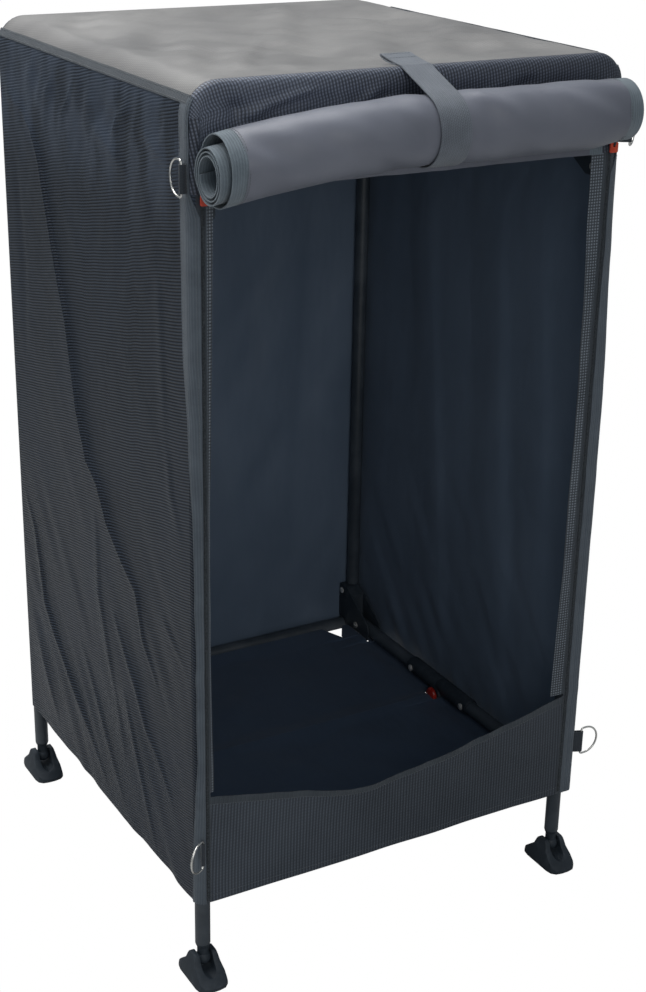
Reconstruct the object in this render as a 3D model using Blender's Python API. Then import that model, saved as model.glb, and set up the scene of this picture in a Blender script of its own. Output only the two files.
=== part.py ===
"""Folding camping cupboard: two leg frames, four folding side rails and a sewn fabric body.

Metres, +Z up. The open front faces -Y, and the ground is at z = 0. Every shape is first laid out
about the middle of the four legs. At the end the whole cupboard is shifted so that the middle of
its box stands over the origin.
"""
import math

import bmesh
import bpy
from mathutils import Matrix, Vector

# Overall frame
FRAME_WIDTH = 0.533
FRAME_DEPTH = 0.547
FRAME_TOP = 1.0975
TUBE_DIAMETER = 0.019
TUBE_WALL = 0.0013
BEND_RADIUS = 0.025
LEG_JOINT_DROP = 0.016
SPIGOT_LENGTH = 0.024
LOWER_BAR_HEIGHT = 0.128
FIT = 0.0003
CUTTER_REACH = 0.05
TUBE_SIDES = 14
BEND_STEPS = 5

# Folding side rails
RAIL_INSET = 0.0065
LOWER_RAIL_HEIGHT = 0.143
UPPER_RAIL_DROP = 0.0875
PIVOT_INSET = 0.0435
RAIL_OVERHANG = 0.010
HUB_DROP = 0.012
HUB_RADIUS = 0.012
HUB_LENGTH = 0.078
HUB_SOCKET_START = 0.0155
EAR_RADIUS = 0.0125
PIN_RADIUS = 0.003
PIN_HEAD_RADIUS = 0.005
PIN_HEAD_HEIGHT = 0.0012
PIN_HEAD_SUNK = 0.0002
HUB_CHAMFER = 0.0008
HUB_CHAMFER_LENGTH = 0.004

# Corner brackets
BRACKET_WIDTH = 0.024
BRACKET_RISE = 0.053
BRACKET_REACH = 0.0385
BRACKET_DEPTH = 0.0135
LUG_RELIEF = 0.0003
BRACKET_CORNER = 0.004
BRACKET_LEDGE = 0.003
BRACKET_NOSE_SLOPE = 0.004
BRACKET_NOSE_HEIGHT = 0.002
BRACKET_NOSE_CUT = 0.003
BRACKET_EDGE = 0.0007
SWING_ROOM = 0.002

# Release buttons
BUTTON_RADIUS = 0.0115
BUTTON_HEIGHT = 0.0068
BUTTON_TRAVEL = 0.003
BUTTON_STEM_RADIUS = 0.0045
BUTTON_STEM_REACH = 0.0195
BUTTON_DOME_TOP = 0.0004
BUTTON_DOME_MIDDLE = 0.0018
BUTTON_DOME_FOOT = 0.004

# Ball feet
BALL_RADIUS = 0.0098
BALL_HEIGHT = 0.028
NECK_RADIUS = 0.0072
SHOULDER_HEIGHT = 0.046
SHOULDER_STEP = 0.001
SHOULDER_TAPER = 0.004
LEG_PLUG_TOP = 0.080
FOOT_LENGTH = 0.076
FOOT_WIDTH = 0.042
FOOT_CORNER = 0.016
FOOT_RIM = 0.0045
FOOT_HEIGHT = 0.038
FOOT_TOP_WIDTH = 0.028
FOOT_EAR_LENGTH = 0.021
FOOT_EAR_RISE = 0.013
FOOT_EAR_SHOULDER = 0.002
TROUGH_HALF_WIDTH = 0.0086
TROUGH_FLOOR = 0.012

# Fabric body
FABRIC = 0.0012
WALL_BOTTOM = 0.113
REAR_WALL_BOTTOM = 0.119
HEADER_DROP = 0.1125
SEAM_ANGLE = math.radians(62)
SEAM_GAP = math.radians(0.8)
FOLD_DEPTH = 0.007
FOLD_EDGE = 0.012
FOLD_FADE_LOW = 0.10
FOLD_FADE_HIGH = 0.06
ROOF_SAG = 0.006
ROOF_RIPPLE = 0.0025
REAR_RIPPLE = 0.003
SKIRT_RIPPLE = 0.003
FLOOR_THICKNESS = 0.0018
FLOOR_CORNER_CUT = 0.034
FLOOR_BAR_GAP = 0.006
FLOOR_TAB_REACH = 0.0125
FLOOR_TAB_GAP = 0.006
FLOOR_TAB_END_GAP = 0.0055
FLOOR_SIDE_GAP = 0.0005
FLOOR_NOTCH_GAP = 0.0015
FLOOR_NOTCH_ROOM = 0.002
SKIRT_TOP = 0.265
SKIRT_SAG_TOP = 0.2165
SKIRT_SAG_PLACE = -0.05
ZIP_INSET = 0.0028
ZIP_WIDTH = 0.005
ZIP_PROUD = 0.0016
ZIP_END = 0.004
BINDING_INSET = 0.0065
JAMB_INSET_TOP = 0.0285
JAMB_INSET_UPPER = 0.0225
JAMB_INSET_MIDDLE = 0.0205
JAMB_INSET_LOWER = 0.0225
JAMB_INSET_FOOT = 0.0265
JAMB_FOOT_GAP = 0.003
JAMB_MIDDLE_HEIGHT = 0.620

# Rolled door and its strap
ROLL_RADIUS = 0.038
ROLL_DROP = 0.0585
ROLL_SAG = 0.023
ROLL_OVERHANG_LEFT = 0.0005
ROLL_INSET_RIGHT = 0.018
ROLL_TELESCOPE = 0.009
ROLL_CLOTH = 0.0016
ROLL_CORE = 0.0185
ROLL_PITCH = 0.0040
ROLL_SLUMP = 0.0057
ROLL_TURNS = 3
ROLL_CORNER_CUT = 0.0125
ROLL_CORNER_DROP = 0.010
STRAP_WIDTH = 0.038
STRAP_THICKNESS = 0.0014
STRAP_PLACE = -0.005
STRAP_END = 0.050
STRAP_LIFT = 0.006
STRAP_FLAT_RUN = 0.004
STRAP_WRAP_END = math.radians(-28)

# D-rings and their webbing loops
RING_WIRE = 0.0026
RING_HEIGHT = 0.0415
RING_DEPTH = 0.028
RING_CORNER = 0.0035
RING_REACH_LEFT_UPPER = 0.0175
RING_REACH_LEFT_LOWER = 0.0193
RING_REACH_RIGHT_UPPER = 0.0280
RING_REACH_RIGHT_LOWER = 0.0310
RING_DROP_LEFT = 0.0965
RING_DROP_RIGHT = 0.0875
RING_RISE_LEFT = 0.077
RING_RISE_RIGHT = 0.074
LOOP_HEIGHT = 0.030
LOOP_WEBBING = 0.0012

# Zip sliders and their pulls
SLIDER_WIDTH = 0.0080
SLIDER_HEIGHT = 0.013
SLIDER_THICKNESS = 0.0046
SLIDER_CORNER = 0.0025
SLIDER_LUG_SUNK = 0.0004
SLIDER_DROP_LEFT = 0.1105
SLIDER_DROP_RIGHT = 0.0990
PULL_WIDTH = 0.0115
PULL_LENGTH = 0.0105
PULL_THICKNESS = 0.0022
PULL_PIN_RADIUS = 0.0009
PULL_TOP = 0.0013
PULL_LUG_REACH = 0.0020
PULL_LUG_HALF = 0.0014
PULL_LUG_DROP = 0.0021
PULL_LUG_RADIUS = 0.0024
PULL_CORNER = 0.0016
PULL_WINDOW_DROP = 0.0016
PULL_PIN_SUNK = 0.001

# Worked out from the sizes above
LEG_X = FRAME_WIDTH / 2
LEG_Y = FRAME_DEPTH / 2
TUBE_RADIUS = TUBE_DIAMETER / 2
TOP_BAR_HEIGHT = FRAME_TOP - TUBE_RADIUS
BEND_START = TOP_BAR_HEIGHT - BEND_RADIUS
LEG_TOP = BEND_START - LEG_JOINT_DROP
RAIL_X = LEG_X - RAIL_INSET
UPPER_RAIL_HEIGHT = FRAME_TOP - UPPER_RAIL_DROP
PIVOT_Y = LEG_Y - PIVOT_INSET
SKIN_RADIUS = TUBE_RADIUS + FIT + FABRIC / 2
FRONT_Y = LEG_Y + SKIN_RADIUS
OUTER_Y = FRONT_Y + FABRIC / 2
FLOOR_TOP_DROP = TUBE_RADIUS + FIT
HEADER_BOTTOM = FRAME_TOP - HEADER_DROP
ZIP_LINE = LEG_X - ZIP_INSET
BINDING_EDGE = LEG_X - BINDING_INSET
ROLL_Y = OUTER_Y + FIT + ROLL_RADIUS
ROLL_HEIGHT = FRAME_TOP - ROLL_DROP
ROLL_LEFT_END = -LEG_X - ROLL_OVERHANG_LEFT
ROLL_RIGHT_END = LEG_X - ROLL_INSET_RIGHT

LEFT, RIGHT = -1, 1
FRONT, REAR = -1, 1
LOWER, UPPER = 1, -1
SIDE_NAME = {LEFT: "left", RIGHT: "right"}
END_NAME = {FRONT: "front", REAR: "rear"}
LEVEL_NAME = {LOWER: "lower", UPPER: "upper"}
RAIL_HEIGHT = {LOWER: LOWER_RAIL_HEIGHT, UPPER: UPPER_RAIL_HEIGHT}

PIVOTS = {}


# Finishes

def finish(obj, colour, roughness, metallic=0.0):
    """Gives an object a material of its own."""
    material = bpy.data.materials.new(obj.name)
    material.use_nodes = True
    shader = material.node_tree.nodes["Principled BSDF"]
    shader.inputs["Base Color"].default_value = (*colour, 1.0)
    shader.inputs["Roughness"].default_value = roughness
    shader.inputs["Metallic"].default_value = metallic
    obj.data.materials.append(material)


def coated_tube(obj):
    finish(obj, (0.038, 0.046, 0.056), 0.38, 0.3)


def black_plastic(obj):
    finish(obj, (0.014, 0.018, 0.023), 0.5)


def textured_cloth(obj):
    finish(obj, (0.045, 0.052, 0.062), 0.75)


def smooth_cloth(obj):
    finish(obj, (0.085, 0.09, 0.105), 0.5)


def lining_cloth(obj):
    finish(obj, (0.02, 0.028, 0.038), 0.7)


def webbing(obj):
    finish(obj, (0.11, 0.135, 0.155), 0.8)


def plated_steel(obj):
    finish(obj, (0.72, 0.72, 0.7), 0.25, 1.0)


def red_plastic(obj):
    finish(obj, (0.62, 0.06, 0.03), 0.4)


# Objects and joints

def joint(name, pivot, parent=None):
    """An empty on a joint's axis, which carries the pieces that move about it."""
    empty = bpy.data.objects.new(name, None)
    empty.empty_display_size = 0.03
    bpy.context.scene.collection.objects.link(empty)
    PIVOTS[name] = Vector(pivot)
    if parent is not None:
        empty.parent = parent
        empty.location = PIVOTS[name] - PIVOTS[parent.name]
    return empty


def piece(name, bm, carrier, sharp=35):
    """Closes a bmesh laid out in cupboard coordinates into an object at its carrier's pivot."""
    bmesh.ops.recalc_face_normals(bm, faces=bm.faces)
    bmesh.ops.translate(bm, verts=bm.verts, vec=-PIVOTS[carrier.name])
    mesh = bpy.data.meshes.new(name)
    bm.to_mesh(mesh)
    bm.free()
    mesh.shade_smooth()
    mesh.set_sharp_from_angle(angle=math.radians(sharp))
    obj = bpy.data.objects.new(name, mesh)
    bpy.context.scene.collection.objects.link(obj)
    obj.parent = carrier
    return obj


def tool(name, bm, carrier):
    """A shape that only cuts or joins another one, and isn't part of the cupboard."""
    obj = piece(name, bm, carrier)
    obj.hide_render = True
    obj.display_type = "WIRE"
    return obj


def shape_with(obj, other, operation):
    modifier = obj.modifiers.new(operation.title(), "BOOLEAN")
    modifier.operation = operation
    modifier.solver = "EXACT"
    modifier.object = other


def cut(obj, *cutters):
    for cutter in cutters:
        shape_with(obj, cutter, "DIFFERENCE")


def join(obj, *others):
    for other in others:
        shape_with(obj, other, "UNION")


def soften(obj, width, segments=1, angle=40):
    """Breaks the sharp edges of a moulding."""
    modifier = obj.modifiers.new("Bevel", "BEVEL")
    modifier.width = width
    modifier.segments = segments
    modifier.limit_method = "ANGLE"
    modifier.angle_limit = math.radians(angle)


# Shape builders

def straight(point):
    return Vector(point)


def add_rings(bm, rings):
    """Skins rings of equal length one after another and caps both ends."""
    made = [[bm.verts.new(point) for point in ring] for ring in rings]
    count = len(made[0])
    for near, far in zip(made, made[1:]):
        for index in range(count):
            after = (index + 1) % count
            bm.faces.new((near[index], near[after], far[after], far[index]))
    bm.faces.new(made[0][::-1])
    bm.faces.new(made[-1])


def circle(centre, u, v, radius, sides=TUBE_SIDES):
    """Points round a circle in the plane of two directions, turned by half a side."""
    centre, u, v = Vector(centre), Vector(u), Vector(v)
    turn = 2 * math.pi / sides
    return [centre + radius * (math.cos((i + 0.5) * turn) * u + math.sin((i + 0.5) * turn) * v)
            for i in range(sides)]


def rod(start, end, radius, sides=TUBE_SIDES):
    """A plain round bar between two points that lie along X, Y or Z from each other."""
    bm = bmesh.new()
    axis = (Vector(end) - Vector(start)).normalized()
    u = Vector((0, 0, 1)) if abs(axis.z) < 0.5 else Vector((1, 0, 0))
    v = axis.cross(u)
    add_rings(bm, [circle(start, u, v, radius, sides), circle(end, u, v, radius, sides)])
    return bm


def turned(profile, centre, axis, across, sides=TUBE_SIDES):
    """Turns a closed outline of (radius, height) points about an axis."""
    bm = bmesh.new()
    centre, axis, across = Vector(centre), Vector(axis), Vector(across)
    points = [bm.verts.new(centre + r * across + h * axis) for r, h in profile]
    edges = [bm.edges.new((a, b)) for a, b in zip(points, points[1:])]
    if profile[0][0] > 0:
        edges.append(bm.edges.new((points[-1], points[0])))
    bmesh.ops.rotate(bm, verts=points, cent=centre, matrix=Matrix.Rotation(math.pi / sides, 3, axis))
    bmesh.ops.spin(bm, geom=points + edges, cent=centre, axis=axis, angle=2 * math.pi,
                   steps=sides, use_merge=True)
    bmesh.ops.remove_doubles(bm, verts=bm.verts, dist=1e-6)
    for h in (profile[0][1], profile[-1][1]):
        flatten_cap(bm, centre + h * axis)
    return bm


def flatten_cap(bm, pole):
    """Turns the fan of faces round a pole into one face where they are level."""
    for vertex in bm.verts:
        if (vertex.co - pole).length < 1e-6:
            normals = [face.normal for face in vertex.link_faces]
            bm.normal_update()
            if all(abs(normals[0].dot(normal)) > 0.99999 for normal in normals):
                bmesh.ops.dissolve_verts(bm, verts=[vertex])
            return


def extruded(outline, low, high, place=straight):
    """Extrudes an outline of (a, b) points from low to high, mapped by a place function."""
    bm = bmesh.new()
    add_rings(bm, [[place((a, b, level)) for a, b in outline] for level in (low, high)])
    return bm


def box(low, high):
    bm = bmesh.new()
    (x0, y0, z0), (x1, y1, z1) = low, high
    add_rings(bm, [[Vector(p) for p in ((x0, y0, z), (x1, y0, z), (x1, y1, z), (x0, y1, z))]
                   for z in (z0, z1)])
    return bm


def arc(centre, radius, start, end, steps):
    """Points on an arc, in radians, with both ends."""
    return [(centre[0] + radius * math.cos(start + (end - start) * i / steps),
             centre[1] + radius * math.sin(start + (end - start) * i / steps))
            for i in range(steps + 1)]


def rounded(outline, radius, steps=3):
    """Rounds every corner of a closed outline, as far as its sides allow."""
    result = []
    count = len(outline)
    for index, corner in enumerate(outline):
        corner = Vector(corner)
        before = Vector(outline[index - 1]) - corner
        after = Vector(outline[(index + 1) % count]) - corner
        half = before.angle(after) / 2
        reach = min(radius / math.tan(half), 0.45 * before.length, 0.45 * after.length)
        start = corner + before.normalized() * reach
        end = corner + after.normalized() * reach
        for step in range(steps + 1):
            t = step / steps
            point = (1 - t) ** 2 * start + 2 * t * (1 - t) * corner + t ** 2 * end
            result.append((point.x, point.y))
    return result


def sheet(grid, thickness=FABRIC):
    """A closed cloth of even thickness about a grid of points, rows of equal length."""
    rows, columns = len(grid), len(grid[0])

    def normal(i, j):
        along = grid[min(i + 1, rows - 1)][j] - grid[max(i - 1, 0)][j]
        across = grid[i][min(j + 1, columns - 1)] - grid[i][max(j - 1, 0)]
        return along.cross(across).normalized()

    bm = bmesh.new()
    faces = []
    for side in (0.5, -0.5):
        faces.append([[bm.verts.new(grid[i][j] + side * thickness * normal(i, j))
                       for j in range(columns)] for i in range(rows)])
    for layer in faces:
        for i in range(rows - 1):
            for j in range(columns - 1):
                bm.faces.new((layer[i][j], layer[i][j + 1], layer[i + 1][j + 1], layer[i + 1][j]))
    rim = ([(0, j) for j in range(columns)] + [(i, columns - 1) for i in range(1, rows)]
           + [(rows - 1, j) for j in range(columns - 2, -1, -1)] + [(i, 0) for i in range(rows - 2, 0, -1)])
    outer, inner = faces
    for (a, b), (c, d) in zip(rim, rim[1:] + rim[:1]):
        bm.faces.new((outer[a][b], outer[c][d], inner[c][d], inner[a][b]))
    return bm


def spread(low, high, count):
    """Evenly spaced values with both ends."""
    return [low + (high - low) * i / (count - 1) for i in range(count)]


def bend_angles(limit):
    """Turns along the top tube's bend up to a limit, in the tube's own steps."""
    step = math.pi / 2 / BEND_STEPS
    return [i * step for i in range(BEND_STEPS) if i * step < limit - 0.02] + [limit]


# Leg frames

def leg(side, end, carrier):
    """A leg tube with its ball end moulded in, open at the top for the top bar's spigot."""
    name = f"{END_NAME[end]}_leg_{SIDE_NAME[side]}"
    inner = TUBE_RADIUS - TUBE_WALL
    lowest = math.radians(-90)
    neck_start = math.acos(NECK_RADIUS / BALL_RADIUS)
    ball = arc((0, BALL_HEIGHT), BALL_RADIUS, lowest, neck_start, 6)
    ball[0] = (0, BALL_HEIGHT - BALL_RADIUS)
    profile = ball + [
        (NECK_RADIUS, SHOULDER_HEIGHT - SHOULDER_STEP),
        (0.8 * TUBE_RADIUS, SHOULDER_HEIGHT),
        (TUBE_RADIUS, SHOULDER_HEIGHT + SHOULDER_TAPER),
        (TUBE_RADIUS, LEG_TOP),
        (inner, LEG_TOP),
        (inner, LEG_PLUG_TOP),
        (0, LEG_PLUG_TOP),
    ]
    bm = turned(profile, (side * LEG_X, end * LEG_Y, 0), (0, 0, 1), (1, 0, 0))
    coated_tube(piece(name, bm, carrier))


def leg_clearance(side, end, carrier):
    """The space that a leg takes in the pieces that seat on it."""
    bm = rod((side * LEG_X, end * LEG_Y, 0), (side * LEG_X, end * LEG_Y, FRAME_TOP), TUBE_RADIUS + FIT)
    return tool(f"leg_clearance_{END_NAME[end]}_{SIDE_NAME[side]}", bm, carrier)


def bottom_bar(end, carrier, clearances):
    """The lower crossbar, coped to both legs."""
    bm = rod((-LEG_X, end * LEG_Y, LOWER_BAR_HEIGHT), (LEG_X, end * LEG_Y, LOWER_BAR_HEIGHT), TUBE_RADIUS)
    bar = piece(f"{END_NAME[end]}_bottom_bar", bm, carrier)
    cut(bar, *clearances)
    coated_tube(bar)
    space = rod((-LEG_X, end * LEG_Y, LOWER_BAR_HEIGHT), (LEG_X, end * LEG_Y, LOWER_BAR_HEIGHT),
                TUBE_RADIUS + FIT)
    return tool(f"bar_clearance_{END_NAME[end]}", space, carrier)


def top_bar(end, carrier):
    """The top crossbar, bent down at both ends and plugged into the legs."""
    y = end * LEG_Y
    rings = []

    def section(x, z, angle, radius):
        across = Vector((math.sin(angle), 0, math.cos(angle)))
        return circle((x, y, z), across, (0, 1, 0), radius)

    spigot = TUBE_RADIUS - TUBE_WALL - FIT
    quarter = math.pi / 2
    bend_x = LEG_X - BEND_RADIUS
    rings.append(section(-LEG_X, LEG_TOP - SPIGOT_LENGTH, -quarter, spigot))
    rings.append(section(-LEG_X, LEG_TOP + FIT, -quarter, spigot))
    rings.append(section(-LEG_X, LEG_TOP + FIT, -quarter, TUBE_RADIUS))
    for phi in bend_angles(quarter)[::-1]:
        angle = -phi
        rings.append(section(-bend_x + BEND_RADIUS * math.sin(angle),
                             BEND_START + BEND_RADIUS * math.cos(angle), angle, TUBE_RADIUS))
    mirrored = [[Vector((-p.x, p.y, p.z)) for p in ring] for ring in reversed(rings)]
    bm = bmesh.new()
    add_rings(bm, rings + mirrored)
    coated_tube(piece(f"{END_NAME[end]}_top_bar", bm, carrier))


# Folding rails

def corner_place(side, end, level):
    """Maps (distance in from the leg, height off the rail, distance out from the rail)."""
    return lambda p: Vector((side * (RAIL_X + p[2]), end * (LEG_Y - p[0]),
                             RAIL_HEIGHT[level] + level * p[1]))


def bracket(side, end, level, carrier, leg_space, bar_space):
    """A moulded gusset on the leg, with two cheeks that hold the rail's pivot rivet."""
    name = f"{END_NAME[end]}_{LEVEL_NAME[level]}_bracket_{SIDE_NAME[side]}"
    place = corner_place(side, end, level)
    half = BRACKET_WIDTH / 2
    nose = PIVOT_INSET + BRACKET_REACH
    foot = -BRACKET_DEPTH
    leg_foot = LOWER_BAR_HEIGHT + TUBE_RADIUS - LOWER_RAIL_HEIGHT + FIT
    outline = rounded([
        (TUBE_RADIUS + FIT, leg_foot), (-TUBE_RADIUS, leg_foot), (-TUBE_RADIUS, BRACKET_RISE),
        (TUBE_RADIUS + BRACKET_LEDGE, BRACKET_RISE), (nose - BRACKET_NOSE_SLOPE, BRACKET_DEPTH),
        (nose, BRACKET_NOSE_HEIGHT), (nose - BRACKET_NOSE_CUT, foot),
        (TUBE_RADIUS + FIT, foot)], BRACKET_CORNER, 2)
    body = piece(name, extruded(outline, -half, half, place), carrier)
    soften(body, BRACKET_EDGE)
    swing = math.hypot(RAIL_OVERHANG, TUBE_RADIUS) + SWING_ROOM
    slot_half = TUBE_RADIUS + FIT
    low, high = foot - CUTTER_REACH, BRACKET_RISE + CUTTER_REACH
    slot = [(PIVOT_INSET - swing, low), (nose + CUTTER_REACH, low), (nose + CUTTER_REACH, high),
            (PIVOT_INSET - swing, high)]
    cut(body, tool(name + "_slot", extruded(slot, -slot_half, slot_half, place), carrier))
    relief = [(-CUTTER_REACH, low), (LUG_RELIEF, low), (LUG_RELIEF, high), (-CUTTER_REACH, high)]
    lug_face = RAIL_INSET - TUBE_RADIUS - FIT
    cut(body, tool(name + "_relief", extruded(relief, lug_face, CUTTER_REACH, place), carrier))
    cut(body, leg_space)
    if level == LOWER:
        cut(body, bar_space)
    pin = [(0, -half - PIN_HEAD_HEIGHT), (0.7 * PIN_HEAD_RADIUS, -half - PIN_HEAD_HEIGHT),
           (PIN_HEAD_RADIUS, -half + PIN_HEAD_SUNK), (PIN_RADIUS, -half + PIN_HEAD_SUNK),
           (PIN_RADIUS, half - PIN_HEAD_SUNK), (PIN_HEAD_RADIUS, half - PIN_HEAD_SUNK),
           (0.7 * PIN_HEAD_RADIUS, half + PIN_HEAD_HEIGHT), (0, half + PIN_HEAD_HEIGHT)]
    centre = place((PIVOT_INSET, 0, 0))
    join(body, tool(name + "_pin", turned(pin, centre, (side, 0, 0), (0, 0, 1), 10), carrier))
    black_plastic(body)


def rail(side, end, level, carrier):
    """Half of a side rail: a tube from its bracket's rivet to the hub."""
    name = f"{LEVEL_NAME[level]}_{END_NAME[end]}_rail_{SIDE_NAME[side]}"
    x, z = side * RAIL_X, RAIL_HEIGHT[level]
    outer_end = end * (PIVOT_Y + RAIL_OVERHANG)
    inner_end = end * (HUB_SOCKET_START + FIT)
    tube = piece(name, rod((x, outer_end, z), (x, inner_end, z), TUBE_RADIUS), carrier)
    bore = rod((x, outer_end + end * TUBE_RADIUS, z), (x, inner_end - end * TUBE_RADIUS, z),
               TUBE_RADIUS - TUBE_WALL, 10)
    cut(tube, tool(name + "_bore", bore, carrier))
    pivot = Vector((x, end * PIVOT_Y, z))
    across = Vector((TUBE_DIAMETER, 0, 0))
    hole = rod(pivot - across, pivot + across, PIN_RADIUS + FIT, 10)
    cut(tube, tool(name + "_hole", hole, carrier))
    coated_tube(tube)


def hub_half(side, end, level, carrier):
    """Half of a rail's centre hub: a socket for the tube and one ear of the knuckle."""
    name = f"{LEVEL_NAME[level]}_{END_NAME[end]}_hub_{SIDE_NAME[side]}"
    x, z = side * RAIL_X, RAIL_HEIGHT[level]
    half = BRACKET_WIDTH / 2
    knuckle_z = z - level * HUB_DROP
    start, tip = end * FIT / 2, end * HUB_LENGTH
    profile = [(0, start), (HUB_RADIUS, start), (HUB_RADIUS, tip - end * HUB_CHAMFER_LENGTH),
               (HUB_RADIUS - HUB_CHAMFER, tip), (0, tip)]
    body = piece(name, turned(profile, (x, 0, z), (0, 1, 0), (1, 0, 0)), carrier)
    own = (-half, 0) if end == REAR else (0, half)
    cleared = (-FIT / 2, half + 0.01) if end == REAR else (-half - 0.01, FIT / 2)

    def knuckle(suffix, span, radius, sides):
        low, high = sorted(x + side * w for w in span)
        return tool(name + suffix, rod((low, 0, knuckle_z), (high, 0, knuckle_z), radius, sides), carrier)

    join(body, knuckle("_ear", own, EAR_RADIUS, 16))
    cut(body, knuckle("_notch", cleared, EAR_RADIUS + FIT, 16))
    socket = rod((x, end * HUB_SOCKET_START, z), (x, tip + end * 0.01, z), TUBE_RADIUS + FIT)
    cut(body, tool(name + "_socket", socket, carrier))
    cut(body, knuckle("_stem_hole", (-0.02, 0.02), BUTTON_STEM_RADIUS + FIT, 10))
    black_plastic(body)


def release_button(side, level, carrier):
    """The round button that unlocks a hub, on a stem through both ears."""
    name = f"{LEVEL_NAME[level]}_release_button_{SIDE_NAME[side]}"
    half = BRACKET_WIDTH / 2
    face = half + BUTTON_TRAVEL + FIT
    profile = [(0, -(face + BUTTON_HEIGHT)),
               (0.55 * BUTTON_RADIUS, -(face + BUTTON_HEIGHT - BUTTON_DOME_TOP)),
               (0.9 * BUTTON_RADIUS, -(face + BUTTON_HEIGHT - BUTTON_DOME_MIDDLE)),
               (BUTTON_RADIUS, -(face + BUTTON_HEIGHT - BUTTON_DOME_FOOT)), (BUTTON_RADIUS, -face),
               (BUTTON_STEM_RADIUS, -face), (BUTTON_STEM_RADIUS, -half + BUTTON_STEM_REACH),
               (0, -half + BUTTON_STEM_REACH)]
    centre = (side * RAIL_X, 0, RAIL_HEIGHT[level] - level * HUB_DROP)
    axis = (side, 0, 0)
    red_plastic(piece(name, turned(profile, centre, axis, (0, 0, 1), 16), carrier))


# Feet

def foot(side, end, carrier):
    """A boat-shaped pad whose two ears hold the leg's ball, with room for its facets to turn."""
    name = f"{END_NAME[end]}_foot_{SIDE_NAME[side]}"
    x, y = side * LEG_X, end * LEG_Y

    def plan(width, length, height, corner):
        w, l = width / 2, length / 2
        outline = rounded([(-w, -l), (w, -l), (w, l), (-w, l)], corner, 3)
        return [Vector((x + a, y + b, height)) for a, b in outline]

    bm = bmesh.new()
    add_rings(bm, [plan(FOOT_WIDTH, FOOT_LENGTH, 0, FOOT_CORNER),
                   plan(FOOT_WIDTH, FOOT_LENGTH, FOOT_RIM, FOOT_CORNER),
                   plan(FOOT_TOP_WIDTH, 0.8 * FOOT_LENGTH, FOOT_HEIGHT + 0.004, 0.4 * FOOT_CORNER)])
    pad = piece(name, bm, carrier)
    half, ear = FOOT_LENGTH / 2, FOOT_EAR_LENGTH / 2
    ear_foot = FOOT_HEIGHT - FOOT_EAR_RISE
    slope = [(0.55 * ear, FOOT_HEIGHT), (0.85 * ear, FOOT_HEIGHT - FOOT_EAR_SHOULDER),
             (1.05 * ear, FOOT_HEIGHT - 0.45 * FOOT_EAR_RISE), (1.3 * ear, ear_foot)]
    slope += [(1.3 * ear + (half - 1.3 * ear) * t, FOOT_RIM + (ear_foot - FOOT_RIM) * (1 - t) ** 1.15)
              for t in (0.33, 0.67, 1.0)]
    arch = [(-a, b) for a, b in reversed(slope)] + slope
    arch = [(-half - 0.001, -0.01), (-half - 0.001, FOOT_RIM)] + arch
    arch += [(half + 0.001, FOOT_RIM), (half + 0.001, -0.01)]
    ridge = extruded(arch, -0.05, 0.05, lambda p: Vector((x + p[2], y + p[0], p[1])))
    shape_with(pad, tool(name + "_ridge", ridge, carrier), "INTERSECT")
    w = TROUGH_HALF_WIDTH
    hollow = [(-w, 0.08)] + arc((0, TROUGH_FLOOR + w), w, math.pi, 2 * math.pi, 6) + [(w, 0.08)]
    trough = extruded(hollow, -half, half, lambda p: Vector((x + p[0], y + p[2], p[1])))
    cut(pad, tool(name + "_trough", trough, carrier))
    steps = 8
    flats = math.cos(math.pi / TUBE_SIDES) * math.cos(math.pi / 2 / steps)
    radius = (BALL_RADIUS + FIT / 2) / flats
    socket = arc((0, BALL_HEIGHT), radius, -math.pi / 2, math.pi / 2, steps)
    socket[0] = (0, BALL_HEIGHT - radius)
    socket[-1] = (0, BALL_HEIGHT + radius)
    cut(pad, tool(name + "_socket", turned(socket, (x, y, 0), (0, 0, 1), (1, 0, 0)), carrier))
    black_plastic(pad)


# Fabric body

def over_corner(side, end, phi, psi, radius=SKIN_RADIUS):
    """A point at a radius round the bent top tube.

    phi runs from 0 on the straight top to a right angle at the leg, and psi from 0 over the
    tube's outer ridge to a right angle on its front or rear.
    """
    centre_x = LEG_X - BEND_RADIUS + BEND_RADIUS * math.sin(phi)
    centre_z = BEND_START + BEND_RADIUS * math.cos(phi)
    out = radius * math.cos(psi)
    return Vector((side * (centre_x + out * math.sin(phi)),
                   end * (LEG_Y + radius * math.sin(psi)), centre_z + out * math.cos(phi)))


def crease(y, z, start, end, width):
    """How much a long soft fold between two (y, z) points lifts the cloth, from 0 to 1."""
    point, a, b = Vector((y, z)), Vector(start), Vector(end)
    along = b - a
    t = max(0.0, min(1.0, (point - a).dot(along) / along.length_squared))
    distance = (point - a - along * t).length
    ends = math.sin(math.pi * (0.08 + 0.84 * t)) ** 0.7
    return ends * math.exp(-(distance / width) ** 2)


SIDE_FOLDS = [((0.20, 1.03), (0.06, 0.62), 0.020, -1.0), ((0.06, 0.70), (-0.02, 0.36), 0.024, -0.8),
              ((-0.06, 0.98), (-0.10, 0.55), 0.022, 0.7), ((0.19, 0.70), (0.10, 0.30), 0.026, 0.8),
              ((-0.16, 0.60), (-0.08, 0.24), 0.024, -0.7), ((0.13, 1.04), (0.16, 0.84), 0.016, 0.7)]


def side_fold(y, z):
    """Outward lift of a side wall, which is held at the legs, the rails and the seams."""
    reach = max(0.0, 1 - (abs(y) / (LEG_Y - FOLD_EDGE)) ** 6)
    low = min(1.0, max(0.0, (z - WALL_BOTTOM) / FOLD_FADE_LOW))
    high = min(1.0, max(0.0, (BEND_START - z) / FOLD_FADE_HIGH))
    lift = sum(size * crease(y, z, start, end, width) for start, end, width, size in SIDE_FOLDS)
    return FOLD_DEPTH * lift * reach * min(low, high)


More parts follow.
